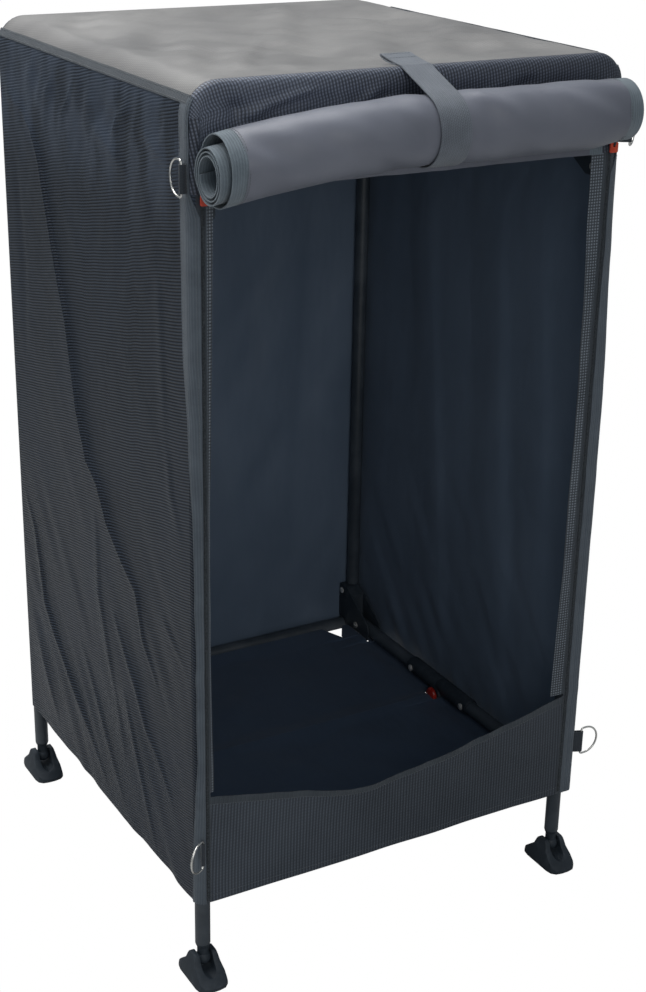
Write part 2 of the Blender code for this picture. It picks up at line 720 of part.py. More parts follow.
def side_wall(side, carrier):
    """A side wall with its main folds, wrapped round the rear leg and up to the roof's seam."""
    columns = [(y, 0.0) for y in spread(-LEG_Y + FIT, LEG_Y, 18)]
    columns += [(LEG_Y, psi) for psi in spread(0, math.pi / 2 - 0.02, 5)[1:]]
    heights = spread(WALL_BOTTOM, BEND_START, 20)
    seam = SEAM_ANGLE + SEAM_GAP
    bends = [phi for phi in bend_angles(math.pi / 2)[-2::-1] if phi > seam + 0.02] + [seam]
    grid = []
    for z in heights:
        grid.append([Vector((side * (LEG_X + SKIN_RADIUS * math.cos(psi) + side_fold(y, z) * math.cos(psi)),
                             y + SKIN_RADIUS * math.sin(psi), z)) for y, psi in columns])
    for phi in bends:
        row = []
        for y, psi in columns:
            point = over_corner(side, REAR, phi, psi)
            row.append(point if psi > 0 else Vector((point.x, y, point.z)))
        grid.append(row)
    textured_cloth(piece(f"{SIDE_NAME[side]}_wall", sheet(grid), carrier))


def top_columns(limit, count):
    """The columns of a cloth over a top bar: round one bend, along the bar, round the other."""
    turns = bend_angles(limit)
    straight_half = LEG_X - BEND_RADIUS
    along = [(0, x) for x in spread(-straight_half, straight_half, count)[1:-1]]
    return [(LEFT, phi) for phi in turns[::-1]] + along + [(RIGHT, phi) for phi in turns]


def over_bar(end, column, psi):
    """A point of a front or rear cloth where it turns over the top bar."""
    kind, value = column
    if kind == 0:
        return Vector((value, end * (LEG_Y + SKIN_RADIUS * math.sin(psi)),
                       TOP_BAR_HEIGHT + SKIN_RADIUS * math.cos(psi)))
    return over_corner(kind, end, value, psi)


def end_cloth(name, end, bottom, limit, rows, ripple, carrier):
    """A front or rear cloth that hangs from the top bar and turns over it to the roof's seam."""
    columns = top_columns(limit, 9)
    grid = []
    for t in spread(0, 1, rows):
        row = []
        for column in columns:
            top = over_bar(end, column, math.pi / 2)
            z = bottom + (top.z - bottom) * t
            wave = ripple * math.sin(math.pi * t) * math.sin(9 * column[1] * math.pi) if column[0] == 0 else 0
            row.append(Vector((top.x, top.y + end * max(0.0, wave), z)))
        grid.append(row)
    for psi in spread(math.pi / 2, 0.06, 5)[1:]:
        grid.append([over_bar(end, column, psi) for column in columns])
    return piece(name, sheet(grid), carrier)


def roof(carrier):
    """The roof between the two top bars, sagging a little between them."""
    columns = top_columns(SEAM_ANGLE - SEAM_GAP, 11)
    grid = []
    for y in spread(-LEG_Y + FIT, LEG_Y - FIT, 13):
        middle = max(0.0, 1 - (y / (LEG_Y - TUBE_RADIUS)) ** 2)
        row = []
        for column in columns:
            point = over_bar(REAR, column, 0)
            x = point.x / LEG_X
            dip = middle * (ROOF_SAG * (1 - x * x) + ROOF_RIPPLE * math.sin(5.2 * x + 9 * y)
                            * (1 - x * x)) if column[0] == 0 else 0
            row.append(Vector((point.x, y, point.z - max(0.0, dip))))
        grid.append(row)
    textured_cloth(piece("roof", sheet(grid), carrier))


def skirt(carrier):
    """The low front panel between the zips, whose hem sags towards the middle."""
    edge = BINDING_EDGE - FIT
    columns = spread(-edge, edge, 21)
    grid = []
    for t in spread(0, 1, 6):
        row = []
        for x in columns:
            side_span = (edge + SKIRT_SAG_PLACE) if x < SKIRT_SAG_PLACE else (edge - SKIRT_SAG_PLACE)
            share = abs(x - SKIRT_SAG_PLACE) / side_span
            top = SKIRT_SAG_TOP + (SKIRT_TOP - SKIRT_SAG_TOP) * share ** 1.7
            z = WALL_BOTTOM + (top - WALL_BOTTOM) * t
            wave = SKIRT_RIPPLE * (0.5 + 0.5 * math.sin(26 * x + 1.0)) * t * (1 - share ** 4)
            row.append(Vector((x, -FRONT_Y - wave, z)))
        grid.append(row)
    textured_cloth(piece("front_skirt", sheet(grid), carrier))


def floor_half(end, carrier):
    """Half of the cloth floor, which lies under its rails and folds with them."""
    top = LOWER_RAIL_HEIGHT - FLOOR_TOP_DROP
    edge = RAIL_X - BRACKET_WIDTH / 2 - FLOOR_SIDE_GAP
    far = LEG_Y - TUBE_RADIUS - FLOOR_BAR_GAP
    tab = RAIL_X - BRACKET_WIDTH / 2 + FLOOR_TAB_REACH
    tab_near = HUB_LENGTH + FLOOR_TAB_GAP
    tab_far = PIVOT_Y - BRACKET_REACH - FLOOR_TAB_END_GAP
    notch = BUTTON_RADIUS + FLOOR_NOTCH_GAP
    notch_edge = RAIL_X - BRACKET_WIDTH / 2 - BUTTON_TRAVEL - BUTTON_HEIGHT - FLOOR_NOTCH_ROOM
    outline = [(notch_edge, FIT / 2), (notch_edge, notch), (edge, notch), (edge, tab_near),
               (tab, tab_near), (tab, tab_far), (edge, tab_far), (edge, far - FLOOR_CORNER_CUT),
               (edge - FLOOR_CORNER_CUT, far)]
    outline += [(-a, b) for a, b in reversed(outline)]
    bm = extruded(outline, top - FLOOR_THICKNESS, top, lambda p: Vector((p[0], end * p[1], p[2])))
    lining_cloth(piece(f"{END_NAME[end]}_floor", bm, carrier))


# Front edges, loops and rings

def wrap_outline(side):
    """Plan of the binding that turns the front corner, from the side wall to the front."""
    last = -math.acos(FIT / SKIN_RADIUS)
    outline = arc((LEG_X, -LEG_Y), SKIN_RADIUS + FABRIC / 2, 0, last, 4)
    outline += arc((LEG_X, -LEG_Y), SKIN_RADIUS - FABRIC / 2, last, 0, 4)
    return [(side * a, b) for a, b in outline]


RING_SEATS = {
    (LEFT, UPPER): (RING_REACH_LEFT_UPPER, -10, 90, FRAME_TOP - RING_DROP_LEFT),
    (LEFT, LOWER): (RING_REACH_LEFT_LOWER, -68, -34, WALL_BOTTOM + RING_RISE_LEFT),
    (RIGHT, UPPER): (RING_REACH_RIGHT_UPPER, -23, 40, FRAME_TOP - RING_DROP_RIGHT),
    (RIGHT, LOWER): (RING_REACH_RIGHT_LOWER, -23, 0, WALL_BOTTOM + RING_RISE_RIGHT),
}


def ring_seat(side, level):
    """Where a D-ring's bar stands, the way its loop leaves the corner and the way the ring lies.

    The seats give the bar's distance from the leg's axis, the two directions in degrees from
    straight sideways towards the rear, and the height.
    """
    distance, lead, rest, height = RING_SEATS[side, level]
    lead, rest = math.radians(lead), math.radians(rest)
    bar = Vector((side * (LEG_X + distance * math.cos(lead)), -LEG_Y + distance * math.sin(lead), height))
    outward = Vector((math.cos(lead), math.sin(lead)))
    lie = Vector((side * math.cos(rest), math.sin(rest), 0))
    return bar, distance, outward, lie


def loop_shape(side, level):
    """The webbing loop that holds a ring's bar, folded round it and sewn into the corner."""
    bar, distance, outward, _ = ring_seat(side, level)
    bore = RING_WIRE / 2 + FIT
    shell = bore + LOOP_WEBBING
    root = 1.1 * LOOP_WEBBING
    across = Vector((-outward.y, outward.x))
    centre = Vector((abs(bar.x), bar.y))
    reach = distance - SKIN_RADIUS
    outline = [centre + shell * (math.cos(a) * outward + math.sin(a) * across)
               for a in spread(-math.pi / 2, math.pi / 2, 7)]
    outline += [centre - reach * outward + root * across, centre - reach * outward - root * across]
    outline = [(side * p.x, p.y) for p in outline]
    solid = extruded(outline, bar.z - LOOP_HEIGHT / 2, bar.z + LOOP_HEIGHT / 2)
    reach = Vector((0, 0, LOOP_HEIGHT))
    hole = rod(bar - reach, bar + reach, bore, 10)
    return solid, hole


def jamb(side, carrier):
    """A front edge as it is sewn: corner binding, zip tape, mesh strip and two ring loops."""
    name = f"front_edge_{SIDE_NAME[side]}"
    corner = extruded(wrap_outline(side), WALL_BOTTOM, BEND_START - FIT)
    body = piece(name, corner, carrier)
    low, high = -FRONT_Y - FABRIC / 2, -FRONT_Y + FABRIC / 2
    mesh_foot = SKIRT_TOP + JAMB_FOOT_GAP
    top = HEADER_BOTTOM - FIT
    lap = LEG_X + FABRIC / 2
    outline = [(lap, WALL_BOTTOM), (lap, top), (LEG_X - JAMB_INSET_TOP, top),
               (LEG_X - JAMB_INSET_UPPER, 0.5 * (top + JAMB_MIDDLE_HEIGHT)),
               (LEG_X - JAMB_INSET_MIDDLE, JAMB_MIDDLE_HEIGHT),
               (LEG_X - JAMB_INSET_LOWER, 0.5 * (mesh_foot + JAMB_MIDDLE_HEIGHT)),
               (LEG_X - JAMB_INSET_FOOT, mesh_foot), (BINDING_EDGE, mesh_foot), (BINDING_EDGE, WALL_BOTTOM)]
    front = extruded(outline, low, high, lambda p: Vector((side * p[0], p[2], p[1])))
    join(body, tool(name + "_front", front, carrier))
    zip_low, zip_high = sorted((side * (ZIP_LINE - ZIP_WIDTH / 2), side * (ZIP_LINE + ZIP_WIDTH / 2)))
    teeth = box((zip_low, low - ZIP_PROUD, WALL_BOTTOM + ZIP_END),
                (zip_high, low + FABRIC / 2, top - ZIP_END / 4))
    join(body, tool(name + "_zip", teeth, carrier))
    for level in (LOWER, UPPER):
        solid, hole = loop_shape(side, level)
        join(body, tool(f"{name}_loop_{LEVEL_NAME[level]}", solid, carrier))
        cut(body, tool(f"{name}_loop_hole_{LEVEL_NAME[level]}", hole, carrier))
    webbing(body)


def d_ring(side, level, carrier):
    """A wire D-ring: a straight bar through its loop and a bow."""
    name = f"{LEVEL_NAME[level]}_d_ring_{SIDE_NAME[side]}"
    bar, _, _, direction = ring_seat(side, level)
    up = Vector((0, 0, 1))
    half = RING_HEIGHT / 2 - RING_WIRE / 2
    bow = RING_DEPTH - RING_WIRE / 2
    corner = RING_CORNER
    path = [(0, -half + corner), (0, half - corner), (0.25 * corner, half - 0.25 * corner),
            (corner, half)]
    straight_run = bow - half if bow > half else 0
    for a in spread(math.pi / 2, -math.pi / 2, 9):
        path.append((max(straight_run + min(half, bow) * math.cos(a), 1.2 * corner if abs(a) > 1.5 else 0),
                     half * math.sin(a)))
    path += [(corner, -half), (0.25 * corner, -half + 0.25 * corner)]
    points = [bar + a * direction + b * up for a, b in path]
    side_way = direction.cross(up)
    count = len(points)
    rings = []
    for index, point in enumerate(points):
        along = (points[(index + 1) % count] - points[index - 1]).normalized()
        rings.append(circle(point, side_way, along.cross(side_way), RING_WIRE / 2, 8))
    bm = bmesh.new()
    made = [[bm.verts.new(p) for p in ring] for ring in rings]
    for index in range(count):
        near, far = made[index], made[(index + 1) % count]
        for i in range(8):
            bm.faces.new((near[i], near[(i + 1) % 8], far[(i + 1) % 8], far[i]))
    plated_steel(piece(name, bm, carrier))


# Zip sliders

def slider(side, height, carrier):
    """A zip slider that straddles the zip, with a lug for its pull."""
    name = f"zip_slider_{SIDE_NAME[side]}"
    x = side * ZIP_LINE
    back = -OUTER_Y - FIT
    front = back - SLIDER_THICKNESS
    half = SLIDER_WIDTH / 2
    outline = rounded([(-half, -SLIDER_HEIGHT / 2), (half, -SLIDER_HEIGHT / 2),
                       (1.1 * half, SLIDER_HEIGHT / 2), (-1.1 * half, SLIDER_HEIGHT / 2)], SLIDER_CORNER, 2)
    block = extruded(outline, front, back, lambda p: Vector((x + p[0], p[2], height + p[1])))
    body = piece(name, block, carrier)
    groove = ZIP_WIDTH / 2 + FIT
    channel = box((x - groove, back - ZIP_PROUD - FIT, height - SLIDER_HEIGHT),
                  (x + groove, back + SLIDER_THICKNESS, height + SLIDER_HEIGHT))
    cut(body, tool(name + "_groove", channel, carrier))
    lug_y = front - PULL_LUG_REACH
    root = front + SLIDER_LUG_SUNK
    lug = [(root, -PULL_LUG_DROP - PULL_LUG_RADIUS)]
    lug += arc((lug_y, -PULL_LUG_DROP), PULL_LUG_RADIUS, -math.pi / 2, -1.5 * math.pi, 6)
    lug += [(root, PULL_LUG_RADIUS - PULL_LUG_DROP)]
    lug_solid = extruded(lug, -PULL_LUG_HALF, PULL_LUG_HALF,
                         lambda p: Vector((x + p[2], p[0], height + p[1])))
    join(body, tool(name + "_lug", lug_solid, carrier))
    pin_z = height - PULL_LUG_DROP
    hole = rod((x - SLIDER_WIDTH, lug_y, pin_z), (x + SLIDER_WIDTH, lug_y, pin_z), PULL_PIN_RADIUS + FIT, 10)
    cut(body, tool(name + "_lug_hole", hole, carrier))
    black_plastic(body)
    return Vector((x, lug_y, pin_z))


def pull(side, pin, carrier):
    """The moulded pull that hangs from a slider's lug on a short pin."""
    name = f"zip_pull_{SIDE_NAME[side]}"
    half = PULL_WIDTH / 2
    outline = rounded([(-half, -PULL_LENGTH), (half, -PULL_LENGTH), (half, PULL_TOP), (-half, PULL_TOP)],
                      PULL_CORNER, 2)
    thick = PULL_THICKNESS / 2
    body = piece(name, extruded(outline, -thick, thick, lambda p: pin + Vector((p[0], p[2], p[1]))), carrier)
    gap = PULL_LUG_HALF + FIT
    window = box((pin.x - gap, pin.y - PULL_WIDTH, pin.z - PULL_LUG_RADIUS - PULL_WINDOW_DROP),
                 (pin.x + gap, pin.y + PULL_WIDTH, pin.z + PULL_LENGTH))
    cut(body, tool(name + "_window", window, carrier))
    across = Vector((half - PULL_PIN_SUNK, 0, 0))
    join(body, tool(name + "_pin", rod(pin - across, pin + across, PULL_PIN_RADIUS, 10), carrier))
    red_plastic(body)


# Rolled door and strap

def roll_axis_height(x):
    """The roll hangs lower towards its left end, away from the strap."""
    share = max(0.0, x / ROLL_LEFT_END)
    return ROLL_HEIGHT - ROLL_SAG * share ** 2


def roll_section(x):
    """One section of the rolled door, from its core outwards and down to the header's edge.

    The inner turns lie low inside the last one, which is loose and runs down behind the roll.
    At the left end they stand out of it.
    """
    steps = 14
    outer = ROLL_RADIUS - ROLL_CLOTH / 2
    total = ROLL_TURNS + 1
    line = []
    for i in range(total * steps + 1):
        turn = i / steps
        loose = min(1.0, max(0.0, (turn - ROLL_TURNS) / 0.25))
        loose *= loose * (3 - 2 * loose)
        radius = (1 - loose) * (ROLL_CORE + ROLL_PITCH * turn) + loose * outer
        angle = 2 * math.pi * (total - turn)
        out = -ROLL_TELESCOPE * (1 - loose) if x == ROLL_LEFT_END else 0
        drop = ROLL_SLUMP * (1 - loose)
        line.append(Vector((radius * math.cos(angle), radius * math.sin(angle) - drop, out)))
    axis = roll_axis_height(x)
    tail = HEADER_BOTTOM - axis
    line += [Vector((outer, tail * t, 0)) for t in (0.5, 1.0)]
    normals = []
    for i, point in enumerate(line):
        along = line[min(i + 1, len(line) - 1)] - line[max(i - 1, 0)]
        normals.append(Vector((-along.y, along.x, 0)).normalized())
    half = ROLL_CLOTH / 2
    ring = [p + half * n for p, n in zip(line, normals)]
    ring += [p - half * n for p, n in zip(line[::-1], normals[::-1])]
    return [Vector((x + p.z, p.x - ROLL_Y, p.y + axis)) for p in ring]


def rolled_door(carrier):
    """The rolled door, whose hanging edge is cut away at the left to clear the zip."""
    bm = bmesh.new()
    add_rings(bm, [roll_section(x) for x in (ROLL_LEFT_END, 0.6 * ROLL_LEFT_END, 0.25 * ROLL_LEFT_END,
                                             0.0, ROLL_RIGHT_END)])
    door = piece("rolled_door", bm, carrier)
    top = roll_axis_height(-ZIP_LINE) - ROLL_CORNER_DROP
    corner = box((ROLL_LEFT_END - 0.02, -OUTER_Y - 0.005, HEADER_BOTTOM - 0.02),
                 (ROLL_CORNER_CUT - LEG_X, -OUTER_Y + 0.005, top))
    cut(door, tool("door_corner", corner, carrier))
    smooth_cloth(door)


def strap(carrier):
    """The webbing strap from the roof, over the header and round the rolled door."""
    half = STRAP_THICKNESS / 2
    over = SKIN_RADIUS + FABRIC / 2 + FIT + half
    round_roll = ROLL_RADIUS + 3 * FIT + half
    bar = Vector((-LEG_Y, TOP_BAR_HEIGHT))
    roll = Vector((-ROLL_Y, roll_axis_height(STRAP_PLACE)))
    between = roll - bar
    lean = math.acos((over - round_roll) / between.length)
    heading = math.atan2(between.y, between.x)
    normal = heading + lean if math.sin(heading + lean) > math.sin(heading - lean) else heading - lean
    normal %= 2 * math.pi
    rest = TOP_BAR_HEIGHT + over
    path = [Vector((-OUTER_Y + STRAP_END, rest + STRAP_LIFT)),
            Vector((-OUTER_Y + 0.6 * STRAP_END, rest + 0.35 * STRAP_LIFT)),
            Vector((-LEG_Y + STRAP_FLAT_RUN, rest))]
    path += [bar + over * Vector((math.cos(a), math.sin(a))) for a in spread(math.pi / 2, normal, 4)]
    path += [roll + round_roll * Vector((math.cos(a), math.sin(a)))
             for a in spread(normal, 2 * math.pi + STRAP_WRAP_END, 19)]
    grid = [[Vector((STRAP_PLACE + w, p.x, p.y)) for w in (-STRAP_WIDTH / 2, STRAP_WIDTH / 2)] for p in path]
    webbing(piece("roll_strap", sheet(grid, STRAP_THICKNESS), carrier))


# Assembly

def leg_frame(end, carrier):
    """Two legs, two crossbars, four brackets and four feet of one end of the cupboard."""
    clearances = {side: leg_clearance(side, end, carrier) for side in (LEFT, RIGHT)}
    for side in (LEFT, RIGHT):
        leg(side, end, carrier)
        ankle = joint(f"{END_NAME[end]}_ankle_{SIDE_NAME[side]}",
                      (side * LEG_X, end * LEG_Y, BALL_HEIGHT), carrier)
        foot(side, end, ankle)
    bar_space = bottom_bar(end, carrier, clearances.values())
    top_bar(end, carrier)
    for level in (LOWER, UPPER):
        for side in (LEFT, RIGHT):
            bracket(side, end, level, carrier, clearances[side], bar_space)


def half_rails(end, level, carrier):
    for side in (LEFT, RIGHT):
        rail(side, end, level, carrier)
        hub_half(side, end, level, carrier)


def fold_joint(end, level, parent):
    """The axis that a pair of half rails turns about: a bracket's rivet, or the hub's stem."""
    name = f"{LEVEL_NAME[level]}_{END_NAME[end]}_fold"
    if end == REAR:
        return joint(name, (0, PIVOT_Y, RAIL_HEIGHT[level]), parent)
    return joint(name, (0, 0, RAIL_HEIGHT[level] - level * HUB_DROP), parent)


def stand_over_origin(cupboard):
    """Shifts the cupboard so that the middle of its box is over the origin."""
    bpy.context.view_layer.update()
    depsgraph = bpy.context.evaluated_depsgraph_get()
    corners = []
    for obj in bpy.context.scene.objects:
        if obj.type == "MESH" and not obj.hide_render:
            shape = obj.evaluated_get(depsgraph)
            corners += [shape.matrix_world @ vertex.co for vertex in shape.data.vertices]
    for axis in (0, 1):
        values = [corner[axis] for corner in corners]
        cupboard.location[axis] = -0.5 * (min(values) + max(values))


def main():
    for obj in list(bpy.data.objects):
        bpy.data.objects.remove(obj, do_unlink=True)
    cupboard = joint("cupboard", (0, 0, 0))
    lower_rear = fold_joint(REAR, LOWER, cupboard)
    lower_front = fold_joint(FRONT, LOWER, lower_rear)
    front = joint("front_frame", (0, -PIVOT_Y, LOWER_RAIL_HEIGHT), lower_front)
    upper_rear = fold_joint(REAR, UPPER, cupboard)
    upper_front = fold_joint(FRONT, UPPER, upper_rear)

    leg_frame(REAR, cupboard)
    leg_frame(FRONT, front)
    half_rails(REAR, LOWER, lower_rear)
    half_rails(FRONT, LOWER, lower_front)
    half_rails(REAR, UPPER, upper_rear)
    half_rails(FRONT, UPPER, upper_front)
    for level, carrier in ((LOWER, lower_rear), (UPPER, upper_rear)):
        for side in (LEFT, RIGHT):
            stem = joint(f"{LEVEL_NAME[level]}_button_axis_{SIDE_NAME[side]}",
                         (side * RAIL_X, 0, RAIL_HEIGHT[level] - level * HUB_DROP), carrier)
            release_button(side, level, stem)

    for side in (LEFT, RIGHT):
        side_wall(side, cupboard)
    seam = SEAM_ANGLE - SEAM_GAP
    lining_cloth(end_cloth("rear_wall", REAR, REAR_WALL_BOTTOM, seam, 7, REAR_RIPPLE, cupboard))
    roof(cupboard)
    textured_cloth(end_cloth("header", FRONT, HEADER_BOTTOM, math.pi / 2, 3, 0.0, front))
    skirt(front)
    floor_half(REAR, lower_rear)
    floor_half(FRONT, lower_front)

    for side, drop in ((LEFT, SLIDER_DROP_LEFT), (RIGHT, SLIDER_DROP_RIGHT)):
        height = FRAME_TOP - drop
        jamb(side, front)
        for level in (LOWER, UPPER):
            hinge_name = f"{LEVEL_NAME[level]}_ring_hinge_{SIDE_NAME[side]}"
            hinge = joint(hinge_name, ring_seat(side, level)[0], front)
            d_ring(side, level, hinge)
        track = joint(f"zip_track_{SIDE_NAME[side]}", (side * ZIP_LINE, -OUTER_Y, height), front)
        pin = slider(side, height, track)
        pull(side, pin, joint(f"pull_hinge_{SIDE_NAME[side]}", pin, track))
    rolled_door(front)
    strap(front)
    stand_over_origin(cupboard)


main()
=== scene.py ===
"""Looks of the folding camping cupboard: sewn cloth, webbing, zips, tubes and mouldings.

Shapes are laid out in metres about the middle of the four legs, with the open front at -Y, and
every mesh is then moved to the frame's own place.
"""
from math import acos, atan2, cos, dist, exp, pi, radians, sin, sqrt

import bmesh
import bpy
import numpy as np
from mathutils import Matrix, Vector


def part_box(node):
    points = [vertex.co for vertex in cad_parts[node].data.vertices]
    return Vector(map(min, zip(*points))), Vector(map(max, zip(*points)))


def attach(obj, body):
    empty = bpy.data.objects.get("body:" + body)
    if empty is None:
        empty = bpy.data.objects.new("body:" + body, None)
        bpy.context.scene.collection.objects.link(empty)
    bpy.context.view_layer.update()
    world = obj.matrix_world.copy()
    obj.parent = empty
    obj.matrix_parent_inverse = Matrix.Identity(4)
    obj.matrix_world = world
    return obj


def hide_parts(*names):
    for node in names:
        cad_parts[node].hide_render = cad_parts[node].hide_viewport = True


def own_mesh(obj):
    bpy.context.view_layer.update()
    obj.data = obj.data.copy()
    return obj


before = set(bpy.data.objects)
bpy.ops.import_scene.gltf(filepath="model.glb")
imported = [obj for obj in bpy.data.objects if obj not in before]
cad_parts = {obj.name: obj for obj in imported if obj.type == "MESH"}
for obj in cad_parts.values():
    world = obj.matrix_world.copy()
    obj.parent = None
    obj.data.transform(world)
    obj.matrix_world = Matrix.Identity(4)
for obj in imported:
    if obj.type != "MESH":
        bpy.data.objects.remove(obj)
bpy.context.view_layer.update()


class Way(int):
    """A sign with a name, as the names of the frame's nodes and bodies have it."""

    def __new__(cls, sign, name):
        way = super().__new__(cls, sign)
        way.name = name
        return way

    def __format__(self, _):
        return self.name


LEFT, RIGHT = SIDES = Way(-1, "left"), Way(1, "right")
FRONT, REAR = ENDS = Way(-1, "front"), Way(1, "rear")
LOWER, UPPER = LEVELS = Way(1, "lower"), Way(-1, "upper")


def middle(node):
    low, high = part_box(node)
    return (Vector(low) + Vector(high)) / 2


# Places read from the frame
CORNERS = {(side, end): middle(f"{end}_foot_{side}") for side in SIDES for end in ENDS}
LEG_X = (CORNERS[RIGHT, FRONT].x - CORNERS[LEFT, FRONT].x) / 2
LEG_Y = (CORNERS[LEFT, REAR].y - CORNERS[LEFT, FRONT].y) / 2
CENTRE = Vector(((CORNERS[RIGHT, FRONT].x + CORNERS[LEFT, FRONT].x) / 2,
                 (CORNERS[LEFT, REAR].y + CORNERS[LEFT, FRONT].y) / 2, 0))

# Frame sizes. PLUG is the radius of the top bar's ends, which stick in the leg tubes
GAP = 0.0003
TUBE = 0.0095
TUBE_BORE = 0.0082
TUBE_SIDES = 48
BEND = 0.025
BAR_HEIGHT = 1.088
BEND_FOOT = 1.063
LEG_TOP = 1.047
LOWER_BAR_HEIGHT = 0.128
RAIL_X = LEG_X - 0.0065
RAIL_HEIGHT = {LOWER: 0.143, UPPER: 1.01}
PIVOT_INSET = 0.0435
PIVOT_Y = LEG_Y - PIVOT_INSET
BALL = 0.0098
BALL_HEIGHT = 0.028
NECK = 0.0072
NECK_TOP = 0.0495
LEG_FLOOR = 0.08
HUB_END = 0.0158
PLUG = 0.0079

# Cloth sizes. SKIN is how far the middle of a stretched cloth is from a tube's axis
CLOTH_THICK = 0.001
TRIM_THICK = 0.0009
FLOOR_THICK = 0.0016
SKIN = 0.0104
FRONT_Y = LEG_Y + SKIN
SEAM = radians(62)
HEM = 0.113
HEM_SEAM = 0.123
HEADER_FOOT = 0.985
FLOOR_HEIGHT = 0.1323
FLOOR_START, FLOOR_END = 0.00015, 0.258
STITCH_RISE = 0.0006
ZIP_X = LEG_X - 0.0028
WEAVE = 0.0036
FINE_WEAVE = 0.0011
LEAN = radians(13)

# Rolled door and strap
ROLL_RADIUS = 0.038
HEADER_FACE = 0.0006
ROLL_Y = FRONT_Y + HEADER_FACE + GAP + ROLL_RADIUS
ROLL_HEIGHT = 1.039
ROLL_SAG = 0.023
ROLL_LEFT = -LEG_X - 0.0005
ROLL_RIGHT = LEG_X - 0.018
ROLL_BAND = 0.02
STRAP_X = -0.005
STRAP_WIDTH = 0.038


def unit(value):
    return np.clip(value, 0, 1)


def eased(value):
    """From 0 to 1 with soft ends."""
    return value * value * (3 - 2 * value)


def linked(name, data):
    """A new object in the scene."""
    obj = bpy.data.objects.new(name, data)
    bpy.context.scene.collection.objects.link(obj)
    return obj


def add_node(tree, kind, inputs=(), **settings):
    """A node with its settings and its inputs, each a value or another node's output."""
    made = tree.nodes.new(kind)
    for name, value in settings.items():
        setattr(made, name, value)
    for name, value in dict(inputs).items():
        value = getattr(value, "socket", value)
        if isinstance(value, bpy.types.NodeSocket):
            tree.links.new(value, made.inputs[name])
        else:
            made.inputs[name].default_value = value
    return made


# Materials

def tone(red, green, blue):
    """A colour as a screen shows it, from 0 to 255, in the shader's own numbers."""
    def linear(value):
        value /= 255
        return value / 12.92 if value <= 0.04045 else ((value + 0.055) / 1.055) ** 2.4
    return (linear(red), linear(green), linear(blue), 1.0)


def maths(operation, swapped=False):
    """An operator of a Number, which adds a maths node to its finish."""
    def work(*terms):
        inputs = dict(enumerate(terms[::-1] if swapped else terms))
        return terms[0].finish.node("ShaderNodeMath", inputs, operation=operation)
    return work


class Number:
    """A value in a finish, worked out with ordinary arithmetic."""

    __add__ = __radd__ = maths("ADD")
    __mul__ = __rmul__ = maths("MULTIPLY")
    __sub__, __rsub__ = maths("SUBTRACT"), maths("SUBTRACT", True)
    __abs__ = maths("ABSOLUTE")
    sine = maths("SINE")

    def __init__(self, finish, socket):
        self.finish = finish
        self.socket = socket

    def wave(self, pitch):
        """A sine from 0 to 1 that repeats at a pitch."""
        return (self * (2 * pi / pitch)).sine() * 0.5 + 0.5

    def step(self, low, high):
        """Smoothly from 0 at low to 1 at high."""
        return self.finish.node("ShaderNodeMapRange", {"Value": self, "From Min": low, "From Max": high},
                                interpolation_type="SMOOTHSTEP")


class Finish:
    """A procedural material with a Principled shader."""

    def __init__(self, name, roughness, metallic=0.0, coat=0.0, sheen=0.0, specular=0.5):
        self.material = bpy.data.materials.new(name)
        self.material.use_nodes = True
        self.tree = self.material.node_tree
        self.shader = self.tree.nodes["Principled BSDF"]
        uniform = {"Roughness": roughness, "Metallic": metallic, "Specular IOR Level": specular,
                   "Coat Weight": coat, "Coat Roughness": 0.35,
                   "Sheen Weight": sheen, "Sheen Roughness": 0.45}
        for socket, value in uniform.items():
            self.shader.inputs[socket].default_value = value

    def node(self, kind, inputs=(), output=0, **settings):
        return Number(self, add_node(self.tree, kind, inputs, **settings).outputs[output])

    def place(self):
        return self.node("ShaderNodeTexCoord", output="Object")

    def cloth(self):
        """A cloth's flat pattern, and its two directions in metres."""
        vector = self.node("ShaderNodeUVMap", uv_map="cloth")
        u, v = (self.node("ShaderNodeSeparateXYZ", {"Vector": vector}, axis) for axis in "XY")
        return vector, u, v

    def stretched(self, vector, scale, turn=0.0):
        return self.node("ShaderNodeMapping",
                         {"Vector": vector, "Scale": scale, "Rotation": (0, 0, turn)})

    def noise(self, vector, scale, detail=3.0, roughness=0.5):
        return self.node("ShaderNodeTexNoise",
                         {"Vector": vector, "Scale": scale, "Detail": detail, "Roughness": roughness})

    def mix(self, first, second, share):
        """Colour from first at 0 to second at 1."""
        return self.node("ShaderNodeMix", {0: share, 6: first, 7: second}, 2, data_type="RGBA",
                         clamp_factor=True)

    def bump(self, height, distance, strength=1.0, **under):
        inputs = {"Height": height, "Distance": distance, "Strength": strength}
        return self.node("ShaderNodeBump", {**inputs, **under})

    def fed(self, **sockets):
        """The material, with what the shader is fed by the names of its sockets."""
        for name, value in sockets.items():
            self.tree.links.new(value.socket, self.shader.inputs[name.replace("_", " ")])
        return self.material


